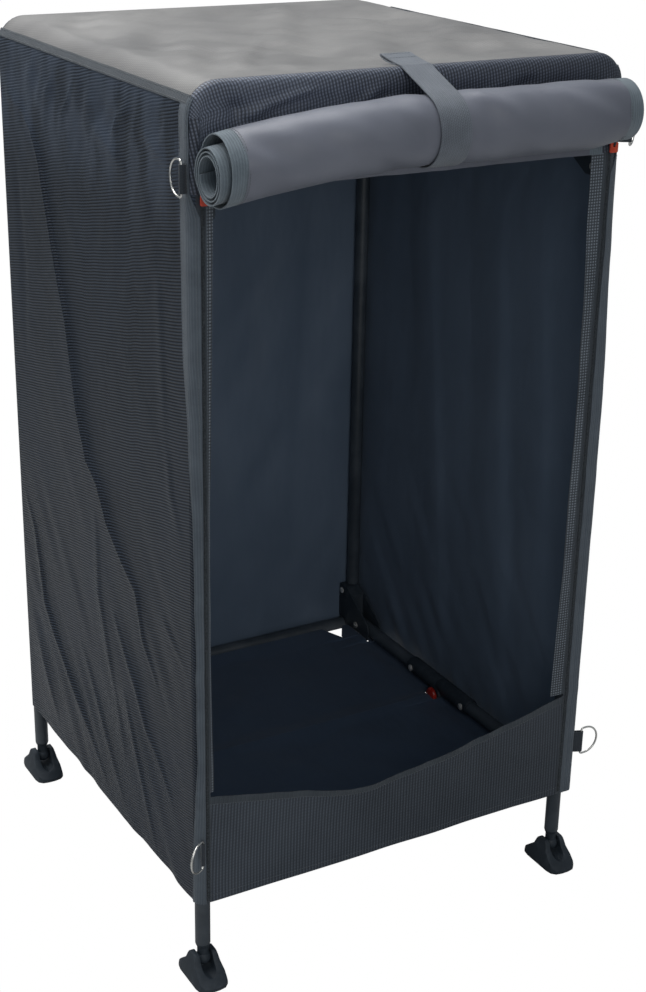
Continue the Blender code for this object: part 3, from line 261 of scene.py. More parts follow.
def ribbed_cloth(name, dark, light, upright=False, ribs=1.0, dots=0.38, rough=0.46, lean=0.0,
                 patchy=0.55, pitch=WEAVE, fade=0.0, base=0.16, painted_sheen_from=None, specular=0.38):
    """Coated polyester with a woven rib and dots at one pitch, dusty and a little glossy.

    Fade is how fast a painted shade makes its colour darker from left to right, for each metre. Above
    the length where its painted sheen starts it is paler in streaks: painted sheen where it is
    stretched.
    """
    finish = Finish(name, rough, specular=specular)
    vector, u, v = finish.cloth()
    # Painted shade: fade makes the colour darker from left to right.
    even = 1.0 - u * fade
    if upright:
        u, v = v, u
    wander = finish.noise(vector, 9.0, 2.0) * 0.0016
    along = u * cos(lean) - v * sin(lean) + wander
    across = v * cos(lean) + u * sin(lean) + wander
    # The rib and dot pattern also colours the cloth: its own weave, with painted shade in the grooves
    # and painted highlight on the ridges.
    cell = across.wave(pitch) * (1 - dots + dots * along.wave(pitch))
    worn = finish.noise(vector, 5.0, 4.0, 0.6)
    fine = finish.noise(vector, 900.0, 2.0)
    share = cell * 0.6 * ribs + (worn - 0.5) * patchy + (fine - 0.5) * 0.25 + base
    # Painted sheen: paler streaks in the colour above the given length along the cloth.
    if painted_sheen_from is not None:
        painted_sheen_streaks = finish.noise(finish.stretched(vector, (26.0, 9.0, 1.0), 0.5), 1.0, 3.0)
        share += v.step(painted_sheen_from, painted_sheen_from + 0.12) * (painted_sheen_streaks.step(0.35, 0.65) * 0.9 + 0.12)
    creases = finish.bump(finish.noise(vector, 22.0, 3.0), 0.002, 0.35)
    return finish.fed(Base_Color=finish.mix(dark, light, share * even),
                      Roughness=rough + (worn - 0.5) * 0.22 - cell * 0.1,
                      Normal=finish.bump(cell + fine * 0.2, 0.0006, 0.55 * ribs, Normal=creases))


def smooth_cloth(name, dark, light, rough, crease, fade=0.0):
    """A smooth coated cloth whose plain weave only just shows, with soft creases."""
    finish = Finish(name, rough, sheen=0.1, specular=0.45)
    vector, u, v = finish.cloth()
    weave = u.wave(FINE_WEAVE) * v.wave(FINE_WEAVE)
    worn = finish.noise(vector, 4.0, 4.0, 0.55)
    soft = finish.noise(finish.stretched(vector, (14.0, 5.0, 1.0), 0.5), 1.0, 3.0)
    # The colour follows the crease heights: painted shade in their hollows and paler crests.
    share = (worn - 0.5) * 0.8 + weave * 0.16 + (soft - 0.5) * 0.3 + 0.45
    creases = finish.bump(soft, 0.006, crease)
    # Painted shade: fade makes the colour darker from left to right.
    return finish.fed(Base_Color=finish.mix(dark, light, share * (1.0 - u * fade)),
                      Roughness=rough + (worn - 0.5) * 0.25,
                      Normal=finish.bump(weave, 0.00015, 0.5, Normal=creases))


def webbing(name, dark, light, pitch=0.0016, across=0.0022, rough=0.72):
    """Woven webbing or binding: small ribs across it and a herringbone along it."""
    finish = Finish(name, rough, sheen=0.3, specular=0.3)
    vector, u, v = finish.cloth()
    fold = abs(u.wave(across * 4) - 0.5) * pitch * 1.6
    ribs = (v + fold).wave(pitch)
    cords = u.wave(across)
    worn = finish.noise(vector, 30.0, 4.0, 0.6)
    fuzz = finish.noise(vector, 1500.0, 2.0)
    share = ribs * 0.45 + cords * 0.2 + (worn - 0.5) * 0.6 + (fuzz - 0.5) * 0.3 + 0.15
    return finish.fed(Base_Color=finish.mix(dark, light, share), Roughness=rough + (fuzz - 0.5) * 0.2,
                      Normal=finish.bump(ribs * 0.7 + cords * 0.4 + fuzz * 0.3, 0.0005, 0.7))


def coated_steel():
    """Dark powder coat with a fine orange peel, a little dust and rubbed bright specks."""
    finish = Finish("powder coated steel", 0.4, coat=0.15, specular=0.55)
    vector = finish.place()
    peel = finish.noise(vector, 700.0, 2.0)
    dust = finish.noise(vector, 14.0, 5.0, 0.65)
    marks = finish.noise(finish.stretched(vector, (90.0, 90.0, 700.0)), 1.0, 2.0).step(0.72, 0.8)
    base = finish.mix(tone(53, 61, 69), tone(80, 88, 96), dust.step(0.35, 0.75))
    return finish.fed(Base_Color=finish.mix(base, tone(104, 108, 112), marks * 0.5),
                      Roughness=0.34 + dust * 0.2 - marks * 0.08, Normal=finish.bump(peel, 0.00012, 0.5))


def moulded_nylon():
    """Glass filled nylon with a spark eroded grain and scuffed patches."""
    finish = Finish("moulded nylon", 0.55, specular=0.45)
    vector = finish.place()
    grain = finish.noise(vector, 1400.0, 2.0)
    scuff = finish.noise(vector, 55.0, 5.0, 0.7)
    flow = finish.noise(finish.stretched(vector, (30.0, 120.0, 60.0)), 1.0, 2.0)
    share = scuff.step(0.45, 0.8) * 0.7 + (flow - 0.5) * 0.35 + (grain - 0.5) * 0.2 + 0.12
    return finish.fed(Base_Color=finish.mix(tone(38, 47, 56), tone(70, 78, 86), share),
                      Roughness=0.46 + scuff * 0.2, Normal=finish.bump(grain, 0.00016, 0.6))


def bright_plate(name, rough, scratches, metallic):
    """Bright plate with fine turning lines and faint tarnish."""
    finish = Finish(name, rough, metallic)
    vector = finish.place()
    tarnish = finish.noise(vector, 60.0, 4.0, 0.6)
    lines = finish.noise(finish.stretched(vector, (260.0, 260.0, 2600.0)), 1.0, 2.0)
    return finish.fed(
        Base_Color=finish.mix(tone(250, 248, 243), tone(196, 194, 188), tarnish.step(0.45, 0.8)),
        Roughness=rough + tarnish * 0.12 + (lines - 0.5) * scratches,
        Normal=finish.bump(lines, 0.00005, 0.4))


def red_moulding(name, dark, light, rough):
    """Red plastic with a fine grain and a slight bleach on its worn places."""
    finish = Finish(name, rough, coat=0.1)
    vector = finish.place()
    grain = finish.noise(vector, 900.0, 2.0)
    worn = finish.noise(vector, 120.0, 4.0)
    return finish.fed(Base_Color=finish.mix(dark, light, worn.step(0.3, 0.8)),
                      Roughness=rough + (worn - 0.5) * 0.2, Normal=finish.bump(grain, 0.0001, 0.5))


def zip_nylon():
    finish = Finish("zip coil nylon", 0.35, coat=0.2)
    shade = finish.noise(finish.place(), 400.0, 2.0)
    return finish.fed(Base_Color=finish.mix(tone(38, 44, 50), tone(86, 93, 98), shade.step(0.3, 0.8)),
                      Roughness=0.3 + shade * 0.2)


def thread():
    finish = Finish("sewing thread", 0.6, sheen=0.3)
    twist = finish.noise(finish.stretched(finish.place(), (1500.0, 1500.0, 500.0)), 1.0, 2.0)
    return finish.fed(Base_Color=finish.mix(tone(60, 66, 72), tone(122, 128, 132), twist),
                      Normal=finish.bump(twist, 0.0001, 0.6))


# The side cloth's paler streaks from 0.8 m along it are painted sheen.
SIDE_CLOTH = ribbed_cloth("ribbed side cloth", tone(3, 6, 11), tone(69, 78, 92), ribs=1.45, dots=0.15,
                          rough=0.38, lean=LEAN, base=0.02, painted_sheen_from=0.8, specular=0.16)
# The front cloth, the panel cloth and the door cloth get darker from left to right by their fade:
# painted shade.
FRONT_CLOTH = ribbed_cloth("ribbed front cloth", tone(8, 10, 18), tone(122, 130, 147), upright=True,
                           ribs=1.3, dots=0.62, lean=LEAN, pitch=0.0038, fade=1.2)
SKIRT_CLOTH = ribbed_cloth("ribbed panel cloth", tone(28, 34, 42), tone(99, 107, 118), upright=True,
                           ribs=0.9, pitch=0.0043, fade=0.6)
# The roof is the walls' ribbed cloth in a paler colour: painted sheen of the light from above.
SHEEN_PAINTED_ROOF_CLOTH = ribbed_cloth("ribbed roof cloth with painted sheen", tone(106, 105, 106), tone(182, 180, 177), ribs=0.45,
                          dots=0.5, lean=LEAN, patchy=0.9)
MESH_CLOTH = ribbed_cloth("dotted mesh cloth", tone(10, 14, 20), tone(146, 156, 167), ribs=1.4, dots=1.0)
LINING = smooth_cloth("lining cloth", tone(76, 92, 111), tone(122, 138, 158), 0.5, 0.7)
FLOOR_CLOTH = smooth_cloth("floor cloth", tone(50, 64, 83), tone(85, 101, 122), 0.42, 1.0)
# The door cloth's fade of 0.9 is painted shade, darker towards its right end.
DOOR_CLOTH = smooth_cloth("door cloth", tone(84, 88, 99), tone(140, 143, 155), 0.38, 0.35, 0.9)
STRAP_WEB = webbing("strap webbing", tone(66, 72, 81), tone(140, 147, 157))
BINDING_WEB = webbing("binding tape", tone(56, 65, 75), tone(118, 128, 138), 0.0012, 0.003)
ROLL_WEB = webbing("roll edge tape", tone(74, 86, 95), tone(144, 156, 165), 0.0012, 0.003)
DARK_WEB = webbing("dark binding tape", tone(40, 47, 54), tone(86, 94, 102), 0.0012, 0.003)
LOOP_WEB = webbing("ring loop webbing", tone(34, 39, 46), tone(74, 81, 89))
ZIP_TAPE = webbing("zip tape", tone(40, 46, 54), tone(84, 92, 100), 0.0009, 0.0014)
STEEL = coated_steel()
NYLON = moulded_nylon()
NICKEL = bright_plate("nickel plated wire", 0.16, 0.08, 1.0)
# The rivets are only partly metallic, so their pale plate colour also shows as diffuse colour: a painted
# highlight that makes each head a bright dot.
RIVET = bright_plate("zinc plated rivet", 0.1, 0.06, 0.4)
KNOB_RED = red_moulding("red button plastic", tone(150, 26, 18), tone(196, 52, 36), 0.32)
PULL_RED = red_moulding("red pull plastic", tone(206, 62, 34), tone(232, 96, 62), 0.42)
COIL = zip_nylon()
THREAD = thread()


# Making pieces

def piece(name, mesh, body, stands_for=(), sharp=35):
    """Links a mesh laid out about the cupboard's middle and puts it on its body."""
    mesh.transform(Matrix.Translation(CENTRE))
    mesh.shade_smooth()
    mesh.set_sharp_from_angle(angle=radians(sharp))
    obj = linked(name, mesh)
    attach(obj, body)
    if stands_for:
        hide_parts(*stands_for)
    return obj


def closed(name, bm, *finishes):
    """A mesh whose faces all point outwards."""
    bmesh.ops.recalc_face_normals(bm, faces=bm.faces)
    mesh = bpy.data.meshes.new(name)
    bm.to_mesh(mesh)
    bm.free()
    for finish in finishes:
        mesh.materials.append(finish)
    return mesh


def cloth_mesh(name, grid, uv, outer, inner, thickness, bands, band):
    """A cloth about a grid of points, with its two faces, its edges and its flat pattern.

    The first finish is on the side that the rows times the columns point to. The cells marked in
    bands take the band's finish on both sides.
    """
    rows, columns = grid.shape[:2]
    normal = np.cross(np.gradient(grid, axis=0), np.gradient(grid, axis=1))
    normal /= np.maximum(np.linalg.norm(normal, axis=2, keepdims=True), 1e-12)
    count = rows * columns
    points = np.concatenate([(grid + normal * thickness / 2).reshape(-1, 3),
                             (grid - normal * thickness / 2).reshape(-1, 3)])
    index = np.arange(count).reshape(rows, columns)
    top = np.stack([index[:-1, :-1], index[1:, :-1], index[1:, 1:], index[:-1, 1:]], -1).reshape(-1, 4)
    rim = np.concatenate([index[0, :], index[1:, -1], index[-1, -2::-1], index[-2:0:-1, 0]])
    after = np.roll(rim, -1)
    walls = np.stack([rim, after, after + count, rim + count], -1)
    faces = np.concatenate([top, top[:, ::-1] + count, walls])
    mesh = bpy.data.meshes.new(name)
    mesh.from_pydata([tuple(p) for p in points], [], [tuple(int(i) for i in f) for f in faces])
    layer = mesh.uv_layers.new(name="cloth")
    flat = np.concatenate([uv.reshape(-1, 2)] * 2)
    layer.data.foreach_set("uv", flat[faces.reshape(-1)].reshape(-1).astype(np.float32))
    slots = np.zeros(len(faces), np.int32)
    finishes = [outer]
    if inner is not None:
        finishes.append(inner)
        slots[len(top):2 * len(top)] = 1
    if band is not None:
        finishes.append(band)
        slots[:2 * len(top)][np.tile(bands.reshape(-1), 2)] = len(finishes) - 1
        slots[2 * len(top):] = len(finishes) - 1
    for finish in finishes:
        mesh.materials.append(finish)
    mesh.polygons.foreach_set("material_index", slots)
    bm = bmesh.new()
    bm.from_mesh(mesh)
    bmesh.ops.recalc_face_normals(bm, faces=bm.faces)
    bm.to_mesh(mesh)
    bm.free()
    return mesh


def pattern(grid):
    """Flat places of a grid's points, in metres along its columns and rows."""
    across = np.linalg.norm(np.diff(grid, axis=1), axis=2)
    along = np.linalg.norm(np.diff(grid, axis=0), axis=2)
    u = np.concatenate([np.zeros((grid.shape[0], 1)), np.cumsum(across, axis=1)], axis=1)
    v = np.concatenate([np.zeros((1, grid.shape[1])), np.cumsum(along, axis=0)], axis=0)
    u -= u[:, u.shape[1] // 2:u.shape[1] // 2 + 1]
    return np.stack([u, v], -1)


def rumple(u, v, seed):
    """Smooth random heights from -1 to 1, about one bump a unit."""
    table = np.random.RandomState(seed).uniform(-1, 1, (64, 64))
    i, j = np.floor(u).astype(int), np.floor(v).astype(int)
    a, b = eased(u - i), eased(v - j)
    near = table[i % 64, j % 64] * (1 - a) + table[(i + 1) % 64, j % 64] * a
    far = table[i % 64, (j + 1) % 64] * (1 - a) + table[(i + 1) % 64, (j + 1) % 64] * a
    return near * (1 - b) + far * b


def slanted(u, v, degrees, along, across, seed):
    """Long wrinkles in one direction, with their length and width."""
    c, s = cos(radians(degrees)), sin(radians(degrees))
    return rumple((u * c + v * s) / along, (v * c - u * s) / across, seed)


def sway(place, row, seed):
    """One random height along a line."""
    return float(rumple(np.array(place), np.array(row), seed))


def folded(lift, u, v, folds):
    """A lift with soft folds added, each a path, the widths of its two slopes and its height."""
    for path, near, far, size in folds:
        lift = lift + size * crease(u, v, path, near, far)
    return lift


def crease(u, v, path, width, far_width):
    """A soft ridge along a path, from 0 to 1, with unlike slopes on its two sides."""
    best = np.full(u.shape, 1e9)
    height = np.zeros(u.shape)
    spans = [dist(a, b) for a, b in zip(path, path[1:])]
    total, before = sum(spans), 0.0
    for (a, b), span in zip(zip(path, path[1:]), spans):
        du, dv = (b[0] - a[0]) / span, (b[1] - a[1]) / span
        t = np.clip((u - a[0]) * du + (v - a[1]) * dv, 0, span)
        off_u, off_v = u - a[0] - t * du, v - a[1] - t * dv
        distance = np.hypot(off_u, off_v)
        across = off_u * dv - off_v * du
        share = (before + t) / total
        ends = np.sin(np.pi * (0.06 + 0.88 * share)) ** 0.6
        slope = np.where(across > 0, width, far_width)
        ridge = ends * np.exp(-(distance / slope) ** 2)
        closer = distance < best
        height = np.where(closer, ridge, height)
        best = np.minimum(best, distance)
        before += span
    return height


def steps(low, high, size):
    """Even steps of about a size between two values, with both ends."""
    return np.linspace(low, high, max(2, int(round(abs(high - low) / size)) + 1))


def over_bar(end, x, psi, radius=SKIN):
    """A point at a radius round a straight top bar. psi is 0 over it and a right angle on its face."""
    return np.array([x, end * (LEG_Y + radius * sin(psi)), BAR_HEIGHT + radius * cos(psi)])


def over_corner(side, end, phi, psi, radius=SKIN):
    """A point at a radius round a top bar's bend, which phi follows from the top to the leg."""
    out = radius * cos(psi)
    x = LEG_X - BEND + (BEND + out) * sin(phi)
    return np.array([side * x, end * (LEG_Y + radius * sin(psi)), BEND_FOOT + (BEND + out) * cos(phi)])


def top_columns(limit, size=0.006):
    """Columns of a cloth over a top bar: round one bend, along the bar and round the other."""
    turns = steps(0, limit, size / (BEND + SKIN))
    half = LEG_X - BEND
    return ([(LEFT, phi) for phi in turns[:0:-1]] + [(0, x) for x in steps(-half, half, size)]
            + [(RIGHT, phi) for phi in turns[1:]])


def column_point(end, column, psi, radius=SKIN):
    kind, value = column
    return over_bar(end, value, psi, radius) if kind == 0 else over_corner(kind, end, value, psi, radius)


# Seams, zips and rivets that repeat

class Repeats:
    """A tree of geometry nodes that puts one small shape along paths or at points."""

    def __init__(self, name, sizes):
        self.tree = bpy.data.node_groups.new(name, "GeometryNodeTree")
        kinds = {"Carrier": "Geometry", **{size: "Float" for size in sizes}, "Finish": "Material"}
        self.sockets = {given: self.tree.interface.new_socket(given, in_out="INPUT",
                                                              socket_type=f"NodeSocket{kind}")
                        for given, kind in kinds.items()}
        self.tree.interface.new_socket("Copies", in_out="OUTPUT", socket_type="NodeSocketGeometry")
        self.given = self.tree.nodes.new("NodeGroupInput")

    def node(self, kind, inputs, **settings):
        return add_node(self.tree, kind, inputs, **settings)

    def vector(self, x, y, z):
        return self.node("ShaderNodeCombineXYZ", {"X": x, "Y": y, "Z": z}).outputs[0]

    def finish(self, copies):
        real = self.node("GeometryNodeRealizeInstances", {"Geometry": copies})
        done = self.node("GeometryNodeSetMaterial",
                         {"Geometry": real.outputs[0], "Material": self.given.outputs["Finish"]})
        self.node("NodeGroupOutput", {"Copies": done.outputs[0]})

    def make(self, name, points, edges, sizes, finish, facing=None):
        """Runs the tree on points or paths and returns the plain mesh."""
        mesh = bpy.data.meshes.new(name)
        mesh.from_pydata([tuple(p) for p in points], edges, [])
        if facing is not None:
            attribute = mesh.attributes.new("facing", "FLOAT_VECTOR", "POINT")
            attribute.data.foreach_set("vector", [value for direction in facing for value in direction])
        obj = linked(name, mesh)
        modifier = obj.modifiers.new("Copies", "NODES")
        modifier.node_group = self.tree
        for size, value in sizes.items():
            modifier[self.sockets[size].identifier] = value
        modifier[self.sockets["Finish"].identifier] = finish
        bpy.context.view_layer.update()
        shown = obj.evaluated_get(bpy.context.evaluated_depsgraph_get())
        result = bpy.data.meshes.new_from_object(shown)
        bpy.data.objects.remove(obj, do_unlink=True)
        result.name = name
        return result


def bead_tree(name, sizes, scale, segments, rings, turned):
    """Round beads one after another along paths: stitches, or the turns of a zip's coil."""
    tree = Repeats(name, sizes)
    given = tree.given.outputs
    curve = tree.node("GeometryNodeMeshToCurve", {"Mesh": given["Carrier"]})
    points = tree.node("GeometryNodeCurveToPoints",
                       {"Curve": curve.outputs[0], "Length": given[sizes[0]]}, mode="LENGTH")
    bead = tree.node("GeometryNodeMeshUVSphere", {"Segments": segments, "Rings": rings, "Radius": 0.5})
    shaped = tree.node("GeometryNodeTransform", {"Geometry": bead.outputs[0],
                                                 "Scale": tree.vector(*(given[size] for size in scale))})
    smooth = tree.node("GeometryNodeSetShadeSmooth", {"Geometry": shaped.outputs[0]})
    placed = {"Points": points.outputs["Points"], "Instance": smooth.outputs[0]}
    if turned:
        placed["Rotation"] = points.outputs["Rotation"]
    tree.finish(tree.node("GeometryNodeInstanceOnPoints", placed).outputs[0])
    return tree


def rivet_tree():
    """Domed rivet heads that face along each point's own direction."""
    tree = Repeats("domed rivet heads", ("Width", "Height"))
    given = tree.given.outputs
    facing = tree.node("GeometryNodeInputNamedAttribute", {"Name": "facing"}, data_type="FLOAT_VECTOR")
    turn = tree.node("FunctionNodeAlignRotationToVector", {"Vector": facing.outputs["Attribute"]},
                     axis="Z")
    head = tree.node("GeometryNodeMeshUVSphere", {"Segments": 20, "Rings": 10, "Radius": 0.5})
    rim = tree.node("GeometryNodeMeshCylinder", {"Vertices": 24, "Radius": 0.62, "Depth": 0.5})
    both = tree.node("GeometryNodeJoinGeometry", {})
    tree.tree.links.new(head.outputs[0], both.inputs[0])
    tree.tree.links.new(rim.outputs[0], both.inputs[0])
    shaped = tree.node("GeometryNodeTransform", {
        "Geometry": both.outputs[0],
        "Scale": tree.vector(given["Width"], given["Width"], given["Height"])})
    points = tree.node("GeometryNodeMeshToPoints", {"Mesh": given["Carrier"]})
    copies = tree.node("GeometryNodeInstanceOnPoints", {
        "Points": points.outputs[0], "Instance": shaped.outputs[0], "Rotation": turn.outputs[0]})
    tree.finish(copies.outputs[0])
    return tree


STITCHES = bead_tree("stitches along seams", ("Spacing", "Length", "Thickness"),
                     ("Thickness", "Thickness", "Length"), 6, 4, True)
COILS = bead_tree("turns of a zip coil", ("Pitch", "Width", "Height"), ("Width", "Height", "Pitch"),
                  8, 5, False)
RIVETS = rivet_tree()
STITCH_SIZES = {"Spacing": 0.0034, "Length": 0.0026, "Thickness": 0.0007}
COIL_SIZES = {"Pitch": 0.0012, "Width": 0.0042, "Height": 0.0016}
RIVET_SIZES = {"Width": 0.0078, "Height": 0.003}


def stitching(name, seams, body):
    """Stitches along seams, each a list of points."""
    points, edges = [], []
    for seam in seams:
        start = len(points)
        points += list(seam)
        edges += [(i, i + 1) for i in range(start, len(points) - 1)]
    return piece(name, STITCHES.make(name, points, edges, STITCH_SIZES, THREAD), body)


def circle(place, u, v, radius, sides):
    turns = (2 * pi * i / sides for i in range(sides))
    return [place + radius * (cos(a) * u + sin(a) * v) for a in turns]


def join_rings(bm, rings, loop):
    """Faces between rings of vertices, which close on themselves or end in caps."""
    for near, far in zip(rings, rings[1:] + rings[:1] if loop else rings[1:]):
        for i in range(len(near)):
            j = (i + 1) % len(near)
            bm.faces.new((near[i], near[j], far[j], far[i]))
    if not loop:
        bm.faces.new(rings[0])
        bm.faces.new(rings[-1])


def straight_tube(name, start, end, bore, cope=0.0):
    """A tube between two points on one axis, open at its ends or coped to the legs."""
    start, end = Vector(start), Vector(end)
    along = (end - start).normalized()
    u = along.orthogonal().normalized() if abs(along.x) < 0.9 else Vector((0, 1, 0))
    v = along.cross(u)
    bm = bmesh.new()
    rings = []
    spans = [(start, TUBE), (end, TUBE)]
    if bore:
        spans = [(start, bore), *spans, (end, bore)]
    for place, size in spans:
        points = circle(place, u, v, size, TUBE_SIDES)
        for point in points if cope else ():
            gap = sqrt(max(cope ** 2 - (point.y - place.y) ** 2, 0))
            point.x += -gap if point.x > 0 else gap
        rings.append([bm.verts.new(point) for point in points])
    join_rings(bm, rings, bool(bore))
    return closed(name, bm, STEEL)


def swept(path, bulk, sides, loop=False):
    """A round bar along a path, closed on itself or capped, with its radius at each point."""
    count = len(path)
    path = [Vector(p) for p in path]
    bm = bmesh.new()
    rings = []
    across = None
    for i, point in enumerate(path):
        before = path[i - 1] if loop or i else point
        after = path[(i + 1) % count] if loop or i < count - 1 else point
        along = (after - before).normalized()
        if across is None:
            across = along.orthogonal().normalized()
        across = (across - along * across.dot(along)).normalized()
        ring = circle(point, across, along.cross(across), bulk[i], sides)
        rings.append([bm.verts.new(place) for place in ring])
    join_rings(bm, rings, loop)
    return bm


# Steel frame

def leg(side, end):
    """A leg tube with its moulded ball end."""
    profile = [(BALL * cos(a), BALL_HEIGHT + BALL * sin(a))
               for a in np.linspace(-pi / 2, acos(NECK / BALL), 15)]
    profile[0] = (0.0, BALL_HEIGHT - BALL)
    profile += [(NECK, 0.0448), (0.0076, 0.0456), (0.0083, 0.0463), (0.0092, 0.0488), (TUBE, 0.05),
                (TUBE, LEG_TOP - 0.0004), (TUBE - 0.0004, LEG_TOP), (TUBE_BORE, LEG_TOP),
                (TUBE_BORE, LEG_FLOOR), (0.0, LEG_FLOOR)]
    bm = bmesh.new()
    turns = [2 * pi * i / TUBE_SIDES for i in range(TUBE_SIDES)]
    rings = [[bm.verts.new((radius * cos(a), radius * sin(a), z)) for a in turns[:None if radius else 1]]
             for radius, z in profile]
    for near, far in zip(rings, rings[1:]):
        for i in range(TUBE_SIDES):
            j = (i + 1) % TUBE_SIDES
            if len(near) == 1:
                bm.faces.new((near[0], far[j], far[i]))
            elif len(far) == 1:
                bm.faces.new((near[i], near[j], far[0]))
            else:
                bm.faces.new((near[i], near[j], far[j], far[i]))
    bmesh.ops.translate(bm, verts=bm.verts, vec=(side * LEG_X, end * LEG_Y, 0))
    mesh = closed(f"{end} leg {side}", bm, STEEL, NYLON)
    for face in mesh.polygons:
        face.material_index = 1 if face.center.z < NECK_TOP else 0
    node = f"{end}_leg_{side}"
    piece(f"{node}_tube", mesh, f"{end}_frame", [node])


def bars(end):
    """The straight lower crossbar and the bent top bar of one leg frame."""
    y = end * LEG_Y
    low = straight_tube("bottom bar", (-LEG_X, y, LOWER_BAR_HEIGHT), (LEG_X, y, LOWER_BAR_HEIGHT), 0,
                        TUBE + GAP)
    piece(f"{end}_bottom_bar_tube", low, f"{end}_frame", [f"{end}_bottom_bar"])
    half = [(LEG_X, LEG_TOP + rise, radius)
            for rise, radius in ((-0.024, PLUG), (GAP, PLUG), (0.0004, TUBE))]
    half += [(LEG_X - BEND + BEND * cos(a), BEND_FOOT + BEND * sin(a), TUBE)
             for a in np.linspace(0, pi / 2, 15)]
    run = [(-x, z, r) for x, z, r in half] + half[::-1]
    bm = swept([(x, y, z) for x, z, _ in run], [r for _, _, r in run], TUBE_SIDES)
    piece(f"{end}_top_bar_tube", closed("top bar", bm, STEEL), f"{end}_frame",
          [f"{end}_top_bar"])


def rail(side, end, level):
    x, z = side * RAIL_X, RAIL_HEIGHT[level]
    mesh = straight_tube("rail", (x, end * HUB_END, z), (x, end * (PIVOT_Y + 0.01), z), TUBE_BORE)
    node = f"{level}_{end}_rail_{side}"
    piece(f"{node}_tube", mesh, f"{level}_{end}_rails", [node])


def refined(node, body, finish, width=0.0005):
    """A copy of a frame node with its facets joined and its edges rounded."""
    source = bpy.data.objects[node]
    bm = bmesh.new()
    bm.from_mesh(source.data)
    bm.transform(source.matrix_world)
    bmesh.ops.translate(bm, verts=bm.verts, vec=-CENTRE)
    bmesh.ops.remove_doubles(bm, verts=bm.verts, dist=1e-5)
    bmesh.ops.dissolve_limit(bm, angle_limit=radians(1.0), verts=bm.verts, edges=bm.edges)
    edges = [e for e in bm.edges if len(e.link_faces) == 2 and e.calc_face_angle(0) > radians(30)]
    bmesh.ops.bevel(bm, geom=edges, offset=width, segments=2, profile=0.5, affect="EDGES",
                    clamp_overlap=True)
    mesh = closed(node, bm, finish)
    return piece(f"{node}_moulding", mesh, body, [node])


# Cloth

def fold_flat(obj):
    """Gives a cloth between the leg frames its own copy of its mesh."""
    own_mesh(obj)
    return obj


def spread_out(name, grid, outward, body, outer, inner=None, stands_for=(), bands=None, band=None,
               thickness=CLOTH_THICK):
    """A cloth piece about a grid, with its outer finish on the side that faces outward."""
    grid = np.array(grid, float)
    uv = pattern(grid)
    normal = np.cross(np.gradient(grid, axis=0), np.gradient(grid, axis=1)).mean((0, 1))
    if normal @ np.array(outward, float) < 0:
        grid, uv = grid[:, ::-1], uv[:, ::-1]
        bands = None if bands is None else bands[:, ::-1]
    mesh = cloth_mesh(name, grid, uv, outer, inner, thickness, bands, band)
    return piece(name, mesh, body, stands_for, 60)


# Folds of the cloths: a path of places (x or y, then height, or x and y on the roof), the widths of its
# two slopes and its height. MAIN_FOLD is the long one down the left wall.
MAIN_FOLD = [(0.249, 1.011), (0.201, 0.996), (0.169, 0.977), (0.146, 0.944), (0.128, 0.898),
             (0.112, 0.854), (0.094, 0.808), (0.072, 0.762), (0.056, 0.697), (0.044, 0.648),
             (0.017, 0.59), (-0.014, 0.569), (-0.042, 0.526), (-0.083, 0.493), (-0.124, 0.467),
             (-0.138, 0.409), (-0.172, 0.37)]
LEFT_FOLDS = [(MAIN_FOLD, 0.0034, 0.0056, 0.0042),
              (MAIN_FOLD, 0.012, 0.034, 0.0022),
              ([(-0.052, 0.403), (-0.081, 0.369), (-0.116, 0.332), (-0.144, 0.286), (-0.173, 0.264),
                (-0.212, 0.223)], 0.004, 0.009, 0.0032),
              ([(0.262, 0.465), (0.225, 0.417), (0.199, 0.317), (0.166, 0.28), (0.111, 0.233),
                (0.051, 0.186), (0.0, 0.145)], 0.0036, 0.01, 0.0036),
              ([(0.001, 0.509), (-0.002, 0.415), (-0.023, 0.356), (-0.039, 0.306), (-0.07, 0.22)],
               0.006, 0.012, 0.0022),
              ([(-0.08, 0.3), (-0.13, 0.2), (-0.16, 0.13)], 0.004, 0.01, 0.0026),
              ([(0.23, 0.24), (0.17, 0.15)], 0.005, 0.012, 0.0022),
              ([(0.06, 0.3), (0.0, 0.22), (-0.06, 0.15)], 0.005, 0.014, 0.0024),
              ([(-0.217, 0.68), (-0.226, 0.631), (-0.247, 0.59)], 0.007, 0.01, 0.0016),
              ([(-0.198, 0.462), (-0.231, 0.44), (-0.257, 0.424)], 0.004, 0.008, 0.002),
              ([(0.018, 1.064), (0.045, 1.03), (0.073, 1.005)], 0.003, 0.004, 0.0024),
              ([(-0.162, 1.068), (-0.14, 1.053), (-0.101, 1.034), (-0.083, 1.01)],
               0.005, 0.008, 0.0036),
              ([(-0.063, 1.047), (-0.02, 1.005)], 0.008, 0.011, -0.0036),
              ([(-0.115, 1.052), (-0.07, 1.018)], 0.006, 0.009, -0.0026),
              ([(-0.222, 1.06), (-0.205, 1.03)], 0.007, 0.01, -0.0032),
              ([(-0.02, 1.018), (-0.11, 0.985)], 0.007, 0.013, 0.0028),
              ([(-0.17, 1.03), (-0.23, 1.01)], 0.005, 0.008, 0.0024),
              ([(0.09, 1.05), (0.12, 1.02)], 0.004, 0.006, 0.0018),
              ([(-0.199, 0.88), (-0.206, 0.786), (-0.209, 0.7)], 0.008, 0.012, 0.0012),
              ([(0.235, 0.93), (0.222, 0.8), (0.228, 0.68)], 0.01, 0.014, -0.0018)]
RIGHT_FOLDS = [([(0.1109, 0.8461), (0.0335, 0.1986)], 0.016, 0.04, -0.0034),
               ([(-0.0541, 0.88), (-0.1244, 0.175)], 0.016, 0.04, -0.0034),
               ([(-0.1501, 0.8998), (-0.212, 0.249)], 0.016, 0.034, -0.003),
               ([(0.19, 1.03), (0.14, 0.6)], 0.02, 0.04, 0.0026),
               ([(0.03, 0.98), (-0.02, 0.45)], 0.024, 0.044, 0.0028),
               ([(-0.1, 0.6), (-0.16, 0.2)], 0.018, 0.034, 0.0026)]

